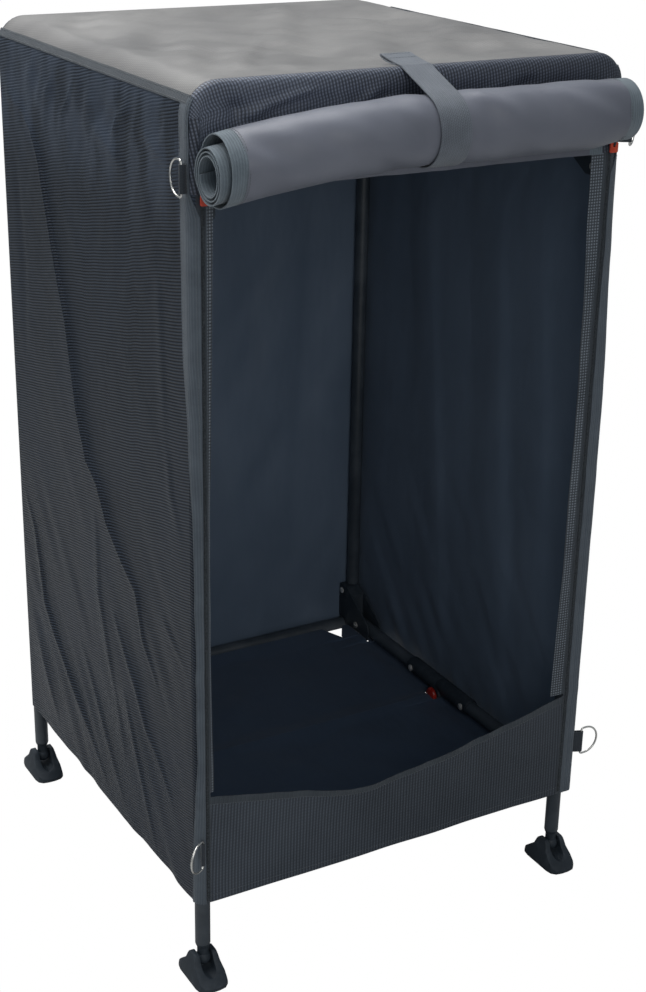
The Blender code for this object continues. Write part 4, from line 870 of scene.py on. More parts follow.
ROOF_FOLDS = [([(-0.2, -0.235), (-0.06, -0.02)], 0.01, 0.026, 0.0042),
              ([(-0.21, 0.2), (0.02, 0.12)], 0.012, 0.028, 0.0032),
              ([(0.2, -0.22), (0.08, 0.05)], 0.012, 0.028, 0.004),
              ([(0.1, 0.23), (0.2, 0.04)], 0.012, 0.026, -0.0034),
              ([(-0.12, 0.05), (-0.02, -0.2)], 0.014, 0.034, -0.0034)]
HEADER_FOLDS = [([(-0.206, 1.061), (-0.186, 1.0705), (-0.162, 1.0775), (-0.136, 1.084),
                  (-0.11, 1.0875)], 0.0045, 0.0075, 0.0062),
                ([(-0.22, 1.06), (-0.23, 1.082)], 0.008, 0.01, -0.0045),
                ([(-0.078, 1.062), (-0.048, 1.084)], 0.005, 0.008, 0.003),
                ([(-0.058, 1.06), (-0.034, 1.08)], 0.006, 0.01, -0.003),
                ([(0.09, 1.066), (0.118, 1.083)], 0.005, 0.009, 0.003),
                ([(0.122, 1.062), (0.15, 1.08)], 0.007, 0.012, -0.003)]
REAR_FOLDS = [([(-0.2, 0.95), (-0.1, 0.55), (-0.16, 0.2)], 0.02, 0.045, 0.004),
              ([(0.06, 0.98), (0.02, 0.6), (0.1, 0.22)], 0.022, 0.05, -0.0035),
              ([(0.19, 0.8), (0.16, 0.25)], 0.016, 0.036, 0.003)]


def side_lift(side, y, z):
    """Outward lift of a side wall: its long folds, slack places and puckers under the seam."""
    lift = folded(0, y, z, LEFT_FOLDS if side == LEFT else RIGHT_FOLDS)
    low = 1 / (1 + np.exp((z - 0.42) / 0.06))
    seed = 11 if side == LEFT else 23
    lift += (0.0002 + 0.0016 * low) * slanted(y + 3, z + 3, 52, 0.13, 0.022, seed)
    lift += 0.0008 * slanted(y + 5, z + 2, 64, 0.24, 0.08, seed + 1)
    seam = np.exp(-np.clip(BEND_FOOT + 0.01 - z, 0, None) / 0.075)
    lift += 0.0046 * seam * slanted(y + 2, z + 2, 118, 0.07, 0.019, seed + 2)
    lift += 0.0022 * seam * slanted(y + 4, z + 6, 40, 0.07, 0.024, seed + 4)
    edge = np.exp(-np.clip(LEG_Y - np.abs(y), 0, None) / 0.05)
    lift += 0.001 * edge * slanted(y + 7, z + 7, 12, 0.06, 0.014, seed + 3)
    reach = unit(1 - (np.abs(y) / (LEG_Y - 0.006)) ** 10)
    lift = lift * reach * unit((BEND_FOOT + 0.004 - z) / 0.03)
    near_rail = [np.exp(-((z - RAIL_HEIGHT[level]) / 0.03) ** 2) for level in LEVELS]
    return np.maximum(lift, -0.0075 + 0.005 * unit(near_rail[0] + near_rail[1]))


def side_wall(side):
    """A side wall from the hem to the roof's seam, and its turn round the rear leg."""
    ys = steps(-LEG_Y + GAP, LEG_Y, 0.0031 if side == LEFT else 0.0052)
    zs = steps(HEM, BEND_FOOT, 0.0054)
    y, z = np.meshgrid(ys, zs)
    lift = side_lift(side, y, z)
    hem = 0.0016 * rumple(y / 0.05 + 4, y * 0 + 1.5, 31) * unit(1 - (z - HEM) / 0.02)
    grid = np.stack([side * (LEG_X + SKIN + lift), y, z + hem], -1)
    turns = steps(pi / 2, SEAM, 0.14)[1:]
    bend = np.array([[[side * (LEG_X - BEND + (BEND + SKIN) * sin(phi)), v,
                       BEND_FOOT + (BEND + SKIN) * cos(phi)] for v in ys] for phi in turns])
    name = f"{side}_wall"
    wall = fold_flat(spread_out(f"{name}_cloth", np.concatenate([grid, bend]), (side, 0, 0),
                                "rear_frame", SIDE_CLOTH, LINING, [name]))
    psis = steps(0, pi / 2 - 0.02, 0.13)
    wrap = [[(side * (LEG_X + SKIN * cos(p)), LEG_Y + SKIN * sin(p), v) for p in psis] for v in zs]
    wrap += [[over_corner(side, REAR, phi, p) for p in psis] for phi in turns]
    corner = spread_out(f"{name}_rear_corner", wrap, (side, 1, 0), "rear_frame", DARK_WEB,
                        LINING)
    out = LEG_X + SKIN + STITCH_RISE + side_lift(side, ys, np.full(len(ys), HEM_SEAM))
    hem_line = [(side * float(x), v, HEM_SEAM) for x, v in zip(out, ys)]
    seam = fold_flat(stitching(f"{name}_hem_stitches", [hem_line], "rear_frame"))


def seam_binding(side):
    """The binding along the seam between a side wall and the roof, which stands up on the right."""
    ys = steps(-LEG_Y + GAP, LEG_Y + 0.004, 0.004)
    half = 0.005
    slack = 0.0022 if side == RIGHT else 0.0009
    grid = []
    for share in np.linspace(-1, 1, 7):
        row = []
        for y in ys:
            wave = slack * sway(y / 0.04 + 9, 2.5 + side, 41)
            wave *= 1 - min(1.0, abs(y) / LEG_Y) ** 6
            out = BEND + SKIN + 0.0012
            if side == RIGHT:
                rise = 0.25 + 0.75 * min(1.0, max(0.0, (LEG_Y - 0.004 - abs(y)) / 0.04))
                out += (half + wave) * rise * (share + 1)
                turn = SEAM - (0.1 - 30 * wave) * rise * (share + 1)
            else:
                out += abs(wave) * (0.4 + 0.6 * share * share)
                turn = SEAM + share * half / (BEND + SKIN) + wave * 12
            row.append((side * (LEG_X - BEND + out * sin(turn)), y, BEND_FOOT + out * cos(turn)))
        grid.append(row)
    name = f"roof_seam_binding_{side}"
    tape = fold_flat(spread_out(name, grid, (side, 0, 1), "rear_frame", DARK_WEB,
                                thickness=0.0008))
    seams = [[np.array(p) + np.array((-0.7, 0, 0.7)) * STITCH_RISE for p in grid[row]] for row in (1, 5)]
    stitches = fold_flat(stitching(f"{name}_stitches", seams, "rear_frame"))


def roof():
    """The roof between the top bars, a little slack, with soft folds towards its front corners."""
    ys = steps(LEG_Y - GAP, -LEG_Y + GAP, 0.0056)
    columns = top_columns(SEAM - 0.01)
    grid = np.zeros((len(ys), len(columns), 3))
    for j, column in enumerate(columns):
        point = column_point(REAR, column, 0)
        x = point[0] / LEG_X
        flat = (1 - x * x) if column[0] == 0 else 0.0
        dip = np.clip(1 - (ys / (LEG_Y - TUBE)) ** 2, 0, None)
        dip = dip * (0.006 * flat + 0.0025 * np.sin(5.2 * x + 9 * ys) * flat)
        grid[:, j] = np.stack([np.full(len(ys), point[0]), ys, point[2] - np.clip(dip, 0, None)], -1)
    x, y = grid[..., 0], grid[..., 1]
    lift = 0.0042 * slanted(x + 3, y + 3, 62, 0.16, 0.036, 51)
    lift += 0.0028 * slanted(x + 5, y + 5, -24, 0.12, 0.026, 52)
    lift += 0.003 * np.exp(-(LEG_Y + y) / 0.06) * slanted(x + 2, y + 2, 88, 0.07, 0.016, 53)
    lift = folded(lift, x, y, ROOF_FOLDS)
    grid[..., 2] += lift * (unit((LEG_X - np.abs(x)) / 0.05) * unit((LEG_Y - 0.012 - np.abs(y)) / 0.03))
    cloth = fold_flat(spread_out("roof_cloth", grid, (0, 0, 1), "rear_frame",
                                 SHEEN_PAINTED_ROOF_CLOTH, LINING, ["roof"]))


def end_cloth(name, end, bottom, limit, shape, outer):
    """A front or rear cloth that hangs from its top bar and turns over it to the roof's seam."""
    size = 0.0028 if end == FRONT else 0.0056
    columns = top_columns(limit, size)
    tops = [column_point(end, column, pi / 2) for column in columns]
    shares = steps(0, 1, size / (BAR_HEIGHT - bottom))
    grid = np.array([[(top[0], top[1], bottom + (top[2] - bottom) * t) for top in tops] for t in shares])
    grid[..., 1] += end * shape(grid[..., 0], grid[..., 2])
    turned = np.array([[column_point(end, column, psi) for column in columns]
                       for psi in steps(pi / 2, 0.05, 0.16)[1:]])
    return spread_out(f"{name}_cloth", np.concatenate([grid, turned]), (0, end, 0), f"{end}_frame",
                      outer, LINING, [name])


def header_lift(x, z):
    """Folds of the header, which stand out only above the rolled door that hangs on its face."""
    lift = 0.0013 * slanted(x + 3, z + 3, 84, 0.05, 0.02, 61) - 0.0026
    lift = folded(lift, x, z, HEADER_FOLDS)
    fade = np.where(lift > 0, unit((BAR_HEIGHT - z) / 0.006), unit((BAR_HEIGHT - 0.005 - z) / 0.012))
    return lift * fade * unit((LEG_X - 0.01 - np.abs(x)) / 0.03)


def rear_lift(x, z):
    """Folds of the rear wall, which is free between the legs and the bars."""
    lift = 0.0024 * slanted(x + 3, z + 3, 80, 0.34, 0.06, 71)
    lift += 0.0012 * slanted(x + 4, z + 2, 55, 0.18, 0.03, 72)
    lift = folded(lift, x, z, REAR_FOLDS)
    fade = unit((BAR_HEIGHT - 0.014 - z) / 0.06) * unit((LEG_X - 0.01 - np.abs(x)) / 0.03)
    bar = np.exp(-((z - LOWER_BAR_HEIGHT) / 0.02) ** 2)
    return np.maximum(lift * fade, -0.009 * (1 - bar))


def skirt_top(x):
    """Height of the front panel's hem, which hangs lowest a little left of the middle."""
    places = [-0.262, -0.2578, -0.138, -0.0547, -0.0225, 0.052, 0.1595, 0.262]
    heights = [0.2635, 0.2618, 0.2349, 0.215, 0.2156, 0.2251, 0.2444, 0.2648]
    return sum(np.interp(np.asarray(x) + shift, places, heights) for shift in (0, 0.012, -0.012)) / 3


def skirt():
    """The low front panel between the zips, with a hem along its slack top edge."""
    edge = LEG_X - 0.0068
    xs = steps(-edge, edge, 0.0045)
    shares = steps(0, 1, 0.035)
    x, share = np.meshgrid(xs, shares)
    top = skirt_top(x)
    foot = HEM + 0.0012 * rumple(x / 0.06 + 3, x * 0 + 0.5, 81)
    z = foot + (top - foot) * share
    free = share ** 1.5 * unit(1 - (np.abs(x) / edge) ** 4)
    lift = 0.0045 * free * (0.5 + 0.5 * slanted(x + 3, z * 0 + 3, 0, 0.055, 1.0, 82))
    lift += 0.0016 * free * slanted(x + 2, z + 2, 74, 0.09, 0.02, 83)
    grid = np.stack([x, -FRONT_Y - np.clip(lift, 0, None), z], -1)
    bands = np.zeros((len(shares) - 1, len(xs) - 1), bool)
    bands[-2:] = True
    cloth = spread_out("front_skirt_cloth", grid, (0, -1, 0), "front_frame",
                       SKIRT_CLOTH, LINING, ["front_skirt"], bands, DARK_WEB)
    lines = [[p + np.array((0, -STITCH_RISE, 0)) for p in grid[row]] for row in (-3, 2)]
    seam = stitching("front_skirt_stitches", lines, "front_frame")


def floor_height(x, y, sag):
    """Height of the floor, which passes under the hubs and lies flat where it folds."""
    edge = unit((np.abs(x) - 0.228) / 0.015)
    dip = 0.0034 * edge * edge * (3 - 2 * edge) * unit((0.2 - np.abs(y)) / 0.012)
    return FLOOR_HEIGHT - np.minimum(dip - sag, 0.17 * np.abs(y) + 0.0001)


# Distances from the middle with a floor half's half widths there, and with a tab's inner edges
BRACKET_X = 0.2475
RAIL_UNDERSIDE = 0.13055
FLOOR_OUTLINE = [(FLOOR_START, 0.2375), (0.0122, 0.2375), (0.0126, BRACKET_X), (0.013, BRACKET_X),
                 (0.0134, 0.261), (0.1919, 0.261), (0.1923, BRACKET_X), (0.215, BRACKET_X),
                 (0.2196, 0.2172), (0.244, 0.2076), (FLOOR_END, 0.2022)]
TAB_OUTLINE = [(0.215, 0.2172), (0.225, 0.2195), (0.235, 0.2255), (0.245, 0.2315), (0.2535, 0.237)]


def floor(end):
    """Half of the cloth floor, cut away round the buttons and open at its corners."""
    places, widths = zip(*FLOOR_OUTLINE)
    ys = np.unique(np.concatenate([steps(FLOOR_START, FLOOR_END, 0.006), places]))
    half = np.interp(ys, places, widths)
    shares = np.linspace(-1, 1, 91)
    x = half[:, None] * shares[None, :]
    y = np.repeat(end * ys[:, None], len(shares), 1)
    sag = 0.0016 * (slanted(x + 3, y + 3, 35, 0.12, 0.03, 91) - 1)
    sag += 0.0018 * (slanted(x + 5, y + 5, -50, 0.2, 0.04, 92) - 1)
    reach = unit((half[:, None] - np.abs(x)) / 0.05) * unit((FLOOR_END - np.abs(y)) / 0.03)
    reach *= unit(np.abs(y) / 0.02)
    node = f"{end}_floor"

    def sheet(name, rows, stands_for=()):
        return spread_out(name, rows, (0, 0, 1), f"lower_{end}_rails", FLOOR_CLOTH,
                          stands_for=stands_for, thickness=FLOOR_THICK)

    cloth = sheet(f"{node}_cloth", np.stack([x, y, floor_height(x, y, sag * reach)], -1), [node])
    for side in SIDES:
        rows = [[(side * (near + (BRACKET_X - near) * t), end * v, FLOOR_HEIGHT)
                 for t in np.linspace(0, 1, 7)] for v, near in TAB_OUTLINE]
        tab = sheet(f"{node}_tab_{side}", rows)
        rows = [[(side * u, end * v, RAIL_UNDERSIDE) for u in np.linspace(0.2508, 0.2612, 4)]
                for v in np.linspace(0.1874, 0.2074, 6)]
        tongue = sheet(f"{node}_tongue_{side}", rows)


# Front edges

# Sizes of the front edges: how far the mesh strips reach from the legs at STRIP_HEIGHTS, and at
# EDGE_HEIGHTS where the bindings start on the side and how far they stand off the legs
EDGE_ROW = 0.006
EDGE_LEAST, OVER_EDGE = -0.013, 0.0063
TAPE_EDGE = 0.006
STRIP_HEIGHTS = [0.268, 0.444, 0.62, 0.8025, 0.985]
STRIP_REACH = {LEFT: [0.012, 0.0094, 0.0094, 0.013, 0.015],
               RIGHT: [0.0265, 0.0225, 0.0205, 0.0225, 0.0285]}
EDGE_HEIGHTS = [HEM, 0.16, 0.236, 0.31, 0.375, 0.44, 0.503, 0.565, 0.624, 0.681, 0.738, 0.792, 0.85,
                BEND_FOOT]
EDGE_START = {LEFT: [-0.002, 0.0005, 0.0045, 0.009, 0.0082, 0.0088, 0.0076, 0.0069, 0.0058, 0.0015,
                     -0.001, -0.0087, -0.0115, EDGE_LEAST], RIGHT: [EDGE_LEAST] * 14}
EDGE_STAND_OFF = {LEFT: [0.0] * 14, RIGHT: [0.0095] * 10 + [0.008, 0.0062, 0.004, 0.0]}


def round_corner(side, way, radius, stand_off=0.0, lead=radians(25)):
    """A place on a front corner, with way as the distance from the leg's side towards its front."""
    quarter = radius * pi / 2
    if way <= 0:
        return side * (LEG_X + radius), -LEG_Y - way
    if way >= quarter:
        return side * (LEG_X - (way - quarter)), -LEG_Y - radius
    turn = way / radius
    out = radius + stand_off * exp(-((turn - lead) / 0.42) ** 2)
    return side * (LEG_X + out * cos(turn)), -LEG_Y - out * sin(turn)


def corner_rows(side, first, last, count, low, high):
    """Rows round a front corner, at even ways between two and from one height to another."""
    return [[(*round_corner(side, way, SKIN), z) for way in np.linspace(first, last, count)]
            for z in steps(low, high, EDGE_ROW)]


def front_edge(side):
    """A front corner as it is sewn: corner cloth, binding, zip tape with its coil, and a mesh strip."""
    name = f"front_edge_{side}"
    skin = SKIN + 0.0011
    quarter = skin * pi / 2
    grid = []
    for z in steps(HEM, BEND_FOOT, EDGE_ROW):
        wave = 0.0006 * sway(z / 0.03 + 5, 3.5 + side, 101)
        start = float(np.interp(z, EDGE_HEIGHTS, EDGE_START[side])) + wave
        end = float(np.interp(z, [0.96, 0.986], [quarter, OVER_EDGE]))
        stand_off = float(np.interp(z, EDGE_HEIGHTS, EDGE_STAND_OFF[side]))
        grid.append([(*round_corner(side, start + (end - start) * t, skin + abs(wave), stand_off), z)
                     for t in np.linspace(0, 1, 15)])
    for phi in steps(pi / 2, SEAM - 0.1, 0.07)[1:]:
        top = over_corner(side, FRONT, phi, 0, skin)
        grid.append([(top[0], -LEG_Y - t, top[2]) if t < 0
                     else over_corner(side, FRONT, phi, t / skin, skin)
                     for t in np.linspace(EDGE_LEAST, OVER_EDGE, 15)])
    binding = spread_out(f"{name}_binding", grid, (side, -0.5, 0), "front_frame",
                         BINDING_WEB, stands_for=[name], thickness=TRIM_THICK)
    off = np.array((side * 0.0005, -GAP, 0))
    seams = [[np.array(row[column]) + off for row in grid] for column in (1, 12)]
    stitches = stitching(f"{name}_stitches", seams, "front_frame")
    cloth_top = HEADER_FOOT - GAP
    cover_rows = corner_rows(side, GAP, 0.012, 7, HEM, cloth_top)
    cover = spread_out(f"{name}_cloth", cover_rows, (side, -0.5, 0), "front_frame",
                       SIDE_CLOTH, LINING)
    tape_rows = corner_rows(side, 0.0123, SKIN * pi / 2 + 0.0068, 9, HEM, cloth_top)
    tape = spread_out(f"{name}_zip_tape", tape_rows, (0, -1, 0), "front_frame", ZIP_TAPE)
    line = [(side * ZIP_X, -FRONT_Y - 0.0011, z) for z in steps(0.117, 0.984, 0.01)]
    edges = [(i, i + 1) for i in range(len(line) - 1)]
    coil = piece(f"{name}_zip_coil", COILS.make("coil", line, edges, COIL_SIZES, COIL), "front_frame")
    strip_rows = []
    for z in steps(STRIP_HEIGHTS[0], HEADER_FOOT - 0.0004, EDGE_ROW):
        reach = float(np.interp(z, STRIP_HEIGHTS, STRIP_REACH[side]))
        wave = 0.0012 * sway(z / 0.05 + 2, 1.5 + side, 102)
        strip_rows.append([(side * (LEG_X - TAPE_EDGE - (reach - TAPE_EDGE) * t),
                            -FRONT_Y + 0.0002 + (0.0012 + wave) * t * t, z)
                           for t in np.linspace(0, 1, 6)])
    bands = np.zeros((len(strip_rows) - 1, 5), bool)
    bands[:, 0] = True
    strip = spread_out(f"{name}_mesh_strip", strip_rows, (0, -1, 0), "front_frame",
                       MESH_CLOTH, LINING, bands=bands, band=BINDING_WEB if side == LEFT else DARK_WEB,
                       thickness=TRIM_THICK)
    shoulder(side)


def shoulder(side):
    """The front cloth over the corner between the binding and the header, up round the bar's bend."""
    rows = corner_rows(side, 0.0058, SKIN * pi / 2 - GAP, 6, HEADER_FOOT, BEND_FOOT)
    name = f"header_corner_{side}"
    cloth = spread_out(name, rows, (side, -1, 0), "front_frame", FRONT_CLOTH, LINING)


# Each ring: its bar's distance from the leg, the ways of its loop and of the ring in degrees, its height
RING_SEATS = {(LEFT, UPPER): (0.0175, -10, 90, 1.001), (LEFT, LOWER): (0.0193, -68, -34, 0.19),
              (RIGHT, UPPER): (0.028, -23, 40, 1.01), (RIGHT, LOWER): (0.031, -23, 0, 0.187)}
WIRE = 0.0013


def ring_seat(side, level):
    """A ring bar's place, its distance from the leg, the way its loop leaves and the way it lies."""
    distance, lead, rest, height = RING_SEATS[side, level]
    lead, rest = radians(lead), radians(rest)
    bar = Vector((side * (LEG_X + distance * cos(lead)), -LEG_Y + distance * sin(lead), height))
    lie = Vector((side * cos(rest), sin(rest), 0))
    return bar, distance, Vector((cos(lead), sin(lead))), lie


def ring_loop(side, level):
    """The webbing that holds a ring's bar, folded round it and sewn into the corner."""
    bar, distance, outward, _ = ring_seat(side, level)
    turn, hold = WIRE + 0.0009, 0.0007
    across = Vector((-outward.y, outward.x))
    centre = Vector((abs(bar.x), bar.y))
    reach = distance - SKIN

    def at(along, over):
        return centre + outward * float(along) + across * float(over)

    def layer(way, shares):
        return [at(-reach + reach * t, way * (hold + (turn - hold) * min(1.0, 1.6 * t) ** 1.5))
                for t in shares]

    path = layer(1, np.linspace(0, 0.9, 7))
    path += [at(turn * sin(a), turn * cos(a)) for a in np.linspace(0, pi, 11)]
    path += layer(-1, np.linspace(0.9, 0, 7))
    zs = steps(bar.z - 0.015, bar.z + 0.015, 0.003)
    grid = [[(side * p.x, p.y, z) for p in path] for z in zs]
    name = f"{level}_ring_loop_{side}"
    loop = spread_out(name, grid, (0, 0, 1), "front_frame", LOOP_WEB, thickness=0.0011)


def d_ring(side, level):
    """A wire ring: a straight bar in its loop and a round bow."""
    bar, _, _, lie = ring_seat(side, level)
    half, bow, corner = 0.02075 - WIRE, 0.028 - WIRE, 0.0035
    run = bow - half
    path = [(0, z) for z in np.linspace(-half + corner, half - corner, 7)]
    turned = [(corner - corner * cos(a), half - corner + corner * sin(a))
              for a in np.linspace(0, pi / 2, 6)[1:]]
    path += turned
    path += [(run + half * cos(a), half * sin(a)) for a in np.linspace(pi / 2, -pi / 2, 36)]
    path += [(out, -height) for out, height in turned[::-1]]
    points = [bar + lie * float(a) + Vector((0, 0, float(b))) for a, b in path]
    node = f"{level}_d_ring_{side}"
    mesh = closed(node, swept(points, [WIRE] * len(points), 16, loop=True), NICKEL)
    piece(f"{node}_wire", mesh, f"{level}_ring_{side}", [node])


# Rolled door and strap

def roll_height(x):
    """Height of the roll's axis, which hangs lower towards its left end."""
    share = np.clip(np.asarray(x) / ROLL_LEFT, 0, None)
    return ROLL_HEIGHT - ROLL_SAG * share ** 2


def roll_taper(x):
    """How much less the roll's radius is at its right end."""
    share = float(unit(1 - (ROLL_RIGHT - x) / 0.06))
    return 0.0034 * share * share * (3 - 2 * share)


def rolled_door():
    """The rolled door, whose inner turns stand out at the left and whose ends are bound."""
    per_turn = 44
    turns, core, pitch, slump = 3, 0.0185, 0.004, 0.0057
    outer = ROLL_RADIUS - 0.0008
    turn = np.arange((turns + 1) * per_turn + 1) / per_turn
    loose = eased(unit((turn - turns) / 0.25))
    angle = 2 * np.pi * (turns + 1 - turn)
    xs = steps(ROLL_LEFT, ROLL_RIGHT, 0.0045)
    grid = np.zeros((len(xs), len(turn) + 8, 3))
    for i, x in enumerate(xs):
        height = float(roll_height(x)) + roll_taper(x)
        from_strap = abs(x - STRAP_X)
        near = exp(-max(0.0, from_strap - STRAP_WIDTH / 2) / 0.06)
        near *= min(1.0, max(0.0, from_strap / 0.019 - 1))
        free = min(1.0, max(0.0, from_strap / 0.024 - 0.8))
        free *= min(1.0, (x - ROLL_LEFT) / 0.04, (ROLL_RIGHT - x) / 0.04)
        girth = (angle % (2 * pi)) * 0.035
        front = unit(-np.cos(angle + 0.5))
        dents = 0.0042 * near * slanted(x + 2 + 0 * turn, girth, 38, 0.07, 0.016, 111)
        dents += 0.0038 * free * front * slanted(x + 5 + 0 * turn, girth + 1, 28, 0.11, 0.02, 112)
        dents += 0.0026 * free * front * slanted(x + 3 + 0 * turn, girth + 3, 50, 0.06, 0.024, 113)
        pinch = -0.0012 * exp(-(from_strap / 0.034) ** 2)
        radius = (1 - loose) * (core + pitch * turn) + loose * (outer + pinch)
        radius += dents * (0.3 + 0.7 * loose)
        radius -= roll_taper(x)
        y = radius * np.cos(angle)
        z = radius * np.sin(angle) - slump * (1 - loose)
        out = -0.009 * (1 - loose) * unit((x / ROLL_LEFT - 0.6) / 0.4)
        tail = np.linspace(0, 1, 9)[1:]
        ends = np.stack([np.full(8, x), np.full(8, radius[-1] - ROLL_Y),
                         height + (HEADER_FOOT - height) * tail], -1)
        grid[i] = np.concatenate([np.stack([x + out, y - ROLL_Y, height + z], -1), ends])
    uv = np.stack([np.repeat(xs[:, None], grid.shape[1], 1), pattern(grid)[..., 0]], -1)
    bands = np.zeros((len(xs) - 1, grid.shape[1] - 1), bool)
    centres = (xs[1:] + xs[:-1]) / 2
    bands[(centres < ROLL_LEFT + ROLL_BAND) | (centres > ROLL_RIGHT - ROLL_BAND)] = True
    mesh = cloth_mesh("rolled_door_cloth", grid, uv, DOOR_CLOTH, DOOR_CLOTH, 0.0014, bands, ROLL_WEB)
    door = piece("rolled_door_cloth", mesh, "front_frame", ["rolled_door"], 60)
    seams = []
    for x in (ROLL_LEFT + 0.0165, ROLL_LEFT + 0.0195, ROLL_RIGHT - 0.0165, ROLL_RIGHT - 0.0195):
        height = float(roll_height(x)) + roll_taper(x)
        reach = outer + 0.0009 - roll_taper(x)
        seams.append([(x, -ROLL_Y + reach * cos(a), height + reach * sin(a))
                      for a in np.linspace(radians(20), radians(330), 90)])
    stitches = stitching("rolled_door_stitches", seams, "front_frame")


def strap():
    """The webbing strap from the roof, over the header and round the rolled door."""
    half = 0.0007
    over = SKIN + HEADER_FACE + GAP + half
    round_roll = ROLL_RADIUS + 0.0009 + half
    bar = Vector((-LEG_Y, BAR_HEIGHT))
    roll = Vector((-ROLL_Y, float(roll_height(STRAP_X))))
    between = roll - bar
    lean = acos((over - round_roll) / between.length)
    heading = atan2(between.y, between.x)
    normal = heading + lean if sin(heading + lean) > sin(heading - lean) else heading - lean
    normal %= 2 * pi
    rest = BAR_HEIGHT + over
    back = -FRONT_Y - HEADER_FACE
    path = [Vector((back + d, rest + h)) for d, h in (
        (0.018, -0.0004), (0.026, -0.0004), (0.034, 0.0002), (0.042, 0.0016), (0.0475, 0.0034),
        (0.05, 0.0046), (0.0508, 0.0056), (0.0498, 0.0064), (0.046, 0.0058), (0.04, 0.0045),
        (0.034, 0.0033), (0.028, 0.0023), (0.022, 0.0014), (0.0155, 0.0005))]
    path += [bar + over * Vector((cos(a), sin(a))) for a in np.linspace(pi / 2, normal, 9)]
    start = bar + over * Vector((cos(normal), sin(normal)))
    finish = roll + round_roll * Vector((cos(normal), sin(normal)))
    path += [start.lerp(finish, t) for t in (0.25, 0.5, 0.75)]
    path += [roll + round_roll * Vector((cos(a), sin(a)))
             for a in np.linspace(normal, 2 * pi + radians(-28), 56)]
    ws = np.linspace(-STRAP_WIDTH / 2, STRAP_WIDTH / 2, 13)
    grid = [[(STRAP_X + w, p.x, p.y) for w in ws] for p in path]
    obj = spread_out("roll_strap_webbing", grid, (0, -0.2, 1), "front_frame", STRAP_WEB,
                     stands_for=["roll_strap"], thickness=0.0013)
    seams = [[(STRAP_X + w, path[row].x, path[row].y + 0.0008) for w in (-0.015, 0, 0.015)]
             for row in (8, 10)]
    stitches = stitching("roll_strap_stitches", seams, "front_frame")


# Rivets

def rivets():
    """Bright rivet heads of the brackets and hubs."""
    heads = {}
    for side in SIDES:
        for end in ENDS:
            for level in LEVELS:
                x, y, z = side * RAIL_X, end * LEG_Y, RAIL_HEIGHT[level]
                for body, place, way in (
                        (f"{end}_frame", (x - side * 0.0122, y - end * PIVOT_INSET, z), -side),
                        (f"{end}_frame", (x + side * 0.0122, y - end * PIVOT_INSET, z), side),
                        (f"{end}_frame", (x - side * 0.012, y + end * 0.001, z + level * 0.042), -side),
                        (f"{level}_{end}_rails", (x - side * 0.0118, end * 0.0675, z), -side)):
                    heads.setdefault(body, []).append((place, (way, 0, 0)))
    for body, found in heads.items():
        places, ways = zip(*found)
        mesh = RIVETS.make(f"{body} rivets", places, [], RIVET_SIZES, RIVET, ways)
        piece(f"{body}_rivets", mesh, body)


# The whole cupboard

for end in ENDS:
    bars(end)
    floor(end)
    for side in SIDES:
        leg(side, end)
        refined(f"{end}_foot_{side}", f"{end}_pad_{side}", NYLON, 0.0006)
        for level in LEVELS:
            rail(side, end, level)
            refined(f"{end}_{level}_bracket_{side}", f"{end}_frame", NYLON)
            refined(f"{level}_{end}_hub_{side}", f"{level}_{end}_rails", NYLON)
for side in SIDES:
    for level in LEVELS:
        refined(f"{level}_release_button_{side}", f"{level}_button_{side}", KNOB_RED)
        ring_loop(side, level)
        d_ring(side, level)
    refined(f"zip_slider_{side}", f"slider_{side}", NYLON, 0.0003)
    refined(f"zip_pull_{side}", f"pull_{side}", PULL_RED, 0.0004)
    side_wall(side)
    seam_binding(side)
    front_edge(side)
roof()
header = end_cloth("header", FRONT, HEADER_FOOT, pi / 2, header_lift, FRONT_CLOTH)
rear = end_cloth("rear_wall", REAR, 0.119, SEAM - 0.01, rear_lift, SIDE_CLOTH)
skirt()
rolled_door()
strap()
rivets()


# Camera

TARGET = Vector((0.038, -0.022, 0.4964)) + CENTRE
AZIMUTH, ELEVATION, ROLL = radians(-30.0237), radians(22.4498), radians(1.132)
DISTANCE = 2.3135
FOCAL_PIXELS, PHOTO_HEIGHT, SENSOR = 1730.96, 992, 36
back = Vector((sin(AZIMUTH) * cos(ELEVATION), -cos(AZIMUTH) * cos(ELEVATION), sin(ELEVATION)))
right = (-back).cross(Vector((0, 0, 1))).normalized()
up = right.cross(-back)
level_x = right * cos(ROLL) + up * sin(ROLL)
level_y = -right * sin(ROLL) + up * cos(ROLL)
camera = linked("camera", bpy.data.cameras.new("camera"))
camera.data.sensor_fit = "VERTICAL"
camera.data.sensor_height = SENSOR
camera.data.lens = FOCAL_PIXELS * SENSOR / PHOTO_HEIGHT
place = Matrix((level_x, level_y, back)).transposed().to_4x4()
place.translation = TARGET + back * DISTANCE
camera.matrix_world = place
bpy.context.scene.camera = camera


# Floor, backdrop and lights

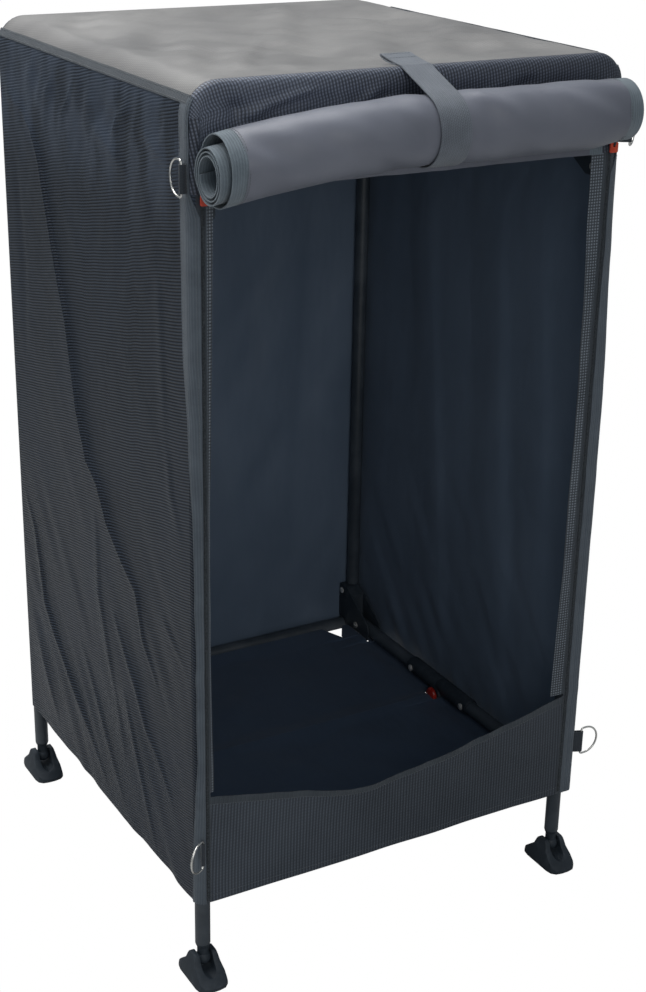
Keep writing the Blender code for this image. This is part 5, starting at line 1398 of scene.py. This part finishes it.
def softbox(name, place, towards, size, power):
    data = bpy.data.lights.new(name, "AREA")
    data.energy = power
    data.shape = "RECTANGLE"
    data.size, data.size_y = size
    obj = linked(name, data)
    obj.location = Vector(place) + CENTRE
    obj.rotation_euler = (Vector(towards) - Vector(place)).to_track_quat("-Z", "Y").to_euler()


softbox("ceiling softbox", (-0.3, 0.5, 2.6), (0, 0, 0.8), (2.2, 1.8), 41)
softbox("left softbox", (-2.2, 0.9, 2.0), (0, 0, 0.7), (0.9, 1.4), 7)
softbox("front softbox", (-0.4, -2.3, 1.5), (0, 0, 0.5), (1.2, 1.6), 9)


def seen_white(tree, lit, white):
    """Shows a tree's camera rays plain white and its other rays what is lit."""
    ray = add_node(tree, "ShaderNodeLightPath")
    return add_node(tree, "ShaderNodeMixShader",
                    {0: ray.outputs["Is Camera Ray"], 1: lit.outputs[0], 2: white.outputs[0]}).outputs[0]


world = bpy.data.worlds.new("white room")
bpy.context.scene.world = world
world.use_nodes = True
tree = world.node_tree
tree.nodes.clear()
lit = add_node(tree, "ShaderNodeBackground", {"Color": (0.88, 0.95, 1.0, 1), "Strength": 0.25})
white = add_node(tree, "ShaderNodeBackground", {"Color": (1, 1, 1, 1), "Strength": 1.0})
add_node(tree, "ShaderNodeOutputWorld", {"Surface": seen_white(tree, lit, white)})

WIDE, LOW = 9.0, -0.0006
ground_mesh = bpy.data.meshes.new("ground")
ground_mesh.from_pydata([(-WIDE, -WIDE, LOW), (WIDE, -WIDE, LOW), (WIDE, WIDE, LOW), (-WIDE, WIDE, LOW)],
                        [], [(0, 1, 2, 3)])
ground = linked("ground", ground_mesh)
paper = bpy.data.materials.new("white paper")
paper.use_nodes = True
tree = paper.node_tree
lit = tree.nodes["Principled BSDF"]
lit.inputs["Base Color"].default_value = (0.55, 0.55, 0.55, 1)
lit.inputs["Roughness"].default_value = 0.8
white = add_node(tree, "ShaderNodeEmission", {"Color": (1, 1, 1, 1), "Strength": 1.0})
tree.links.new(seen_white(tree, lit, white), tree.nodes["Material Output"].inputs["Surface"])
ground_mesh.materials.append(paper)

bpy.context.scene.view_settings.view_transform = "Standard"
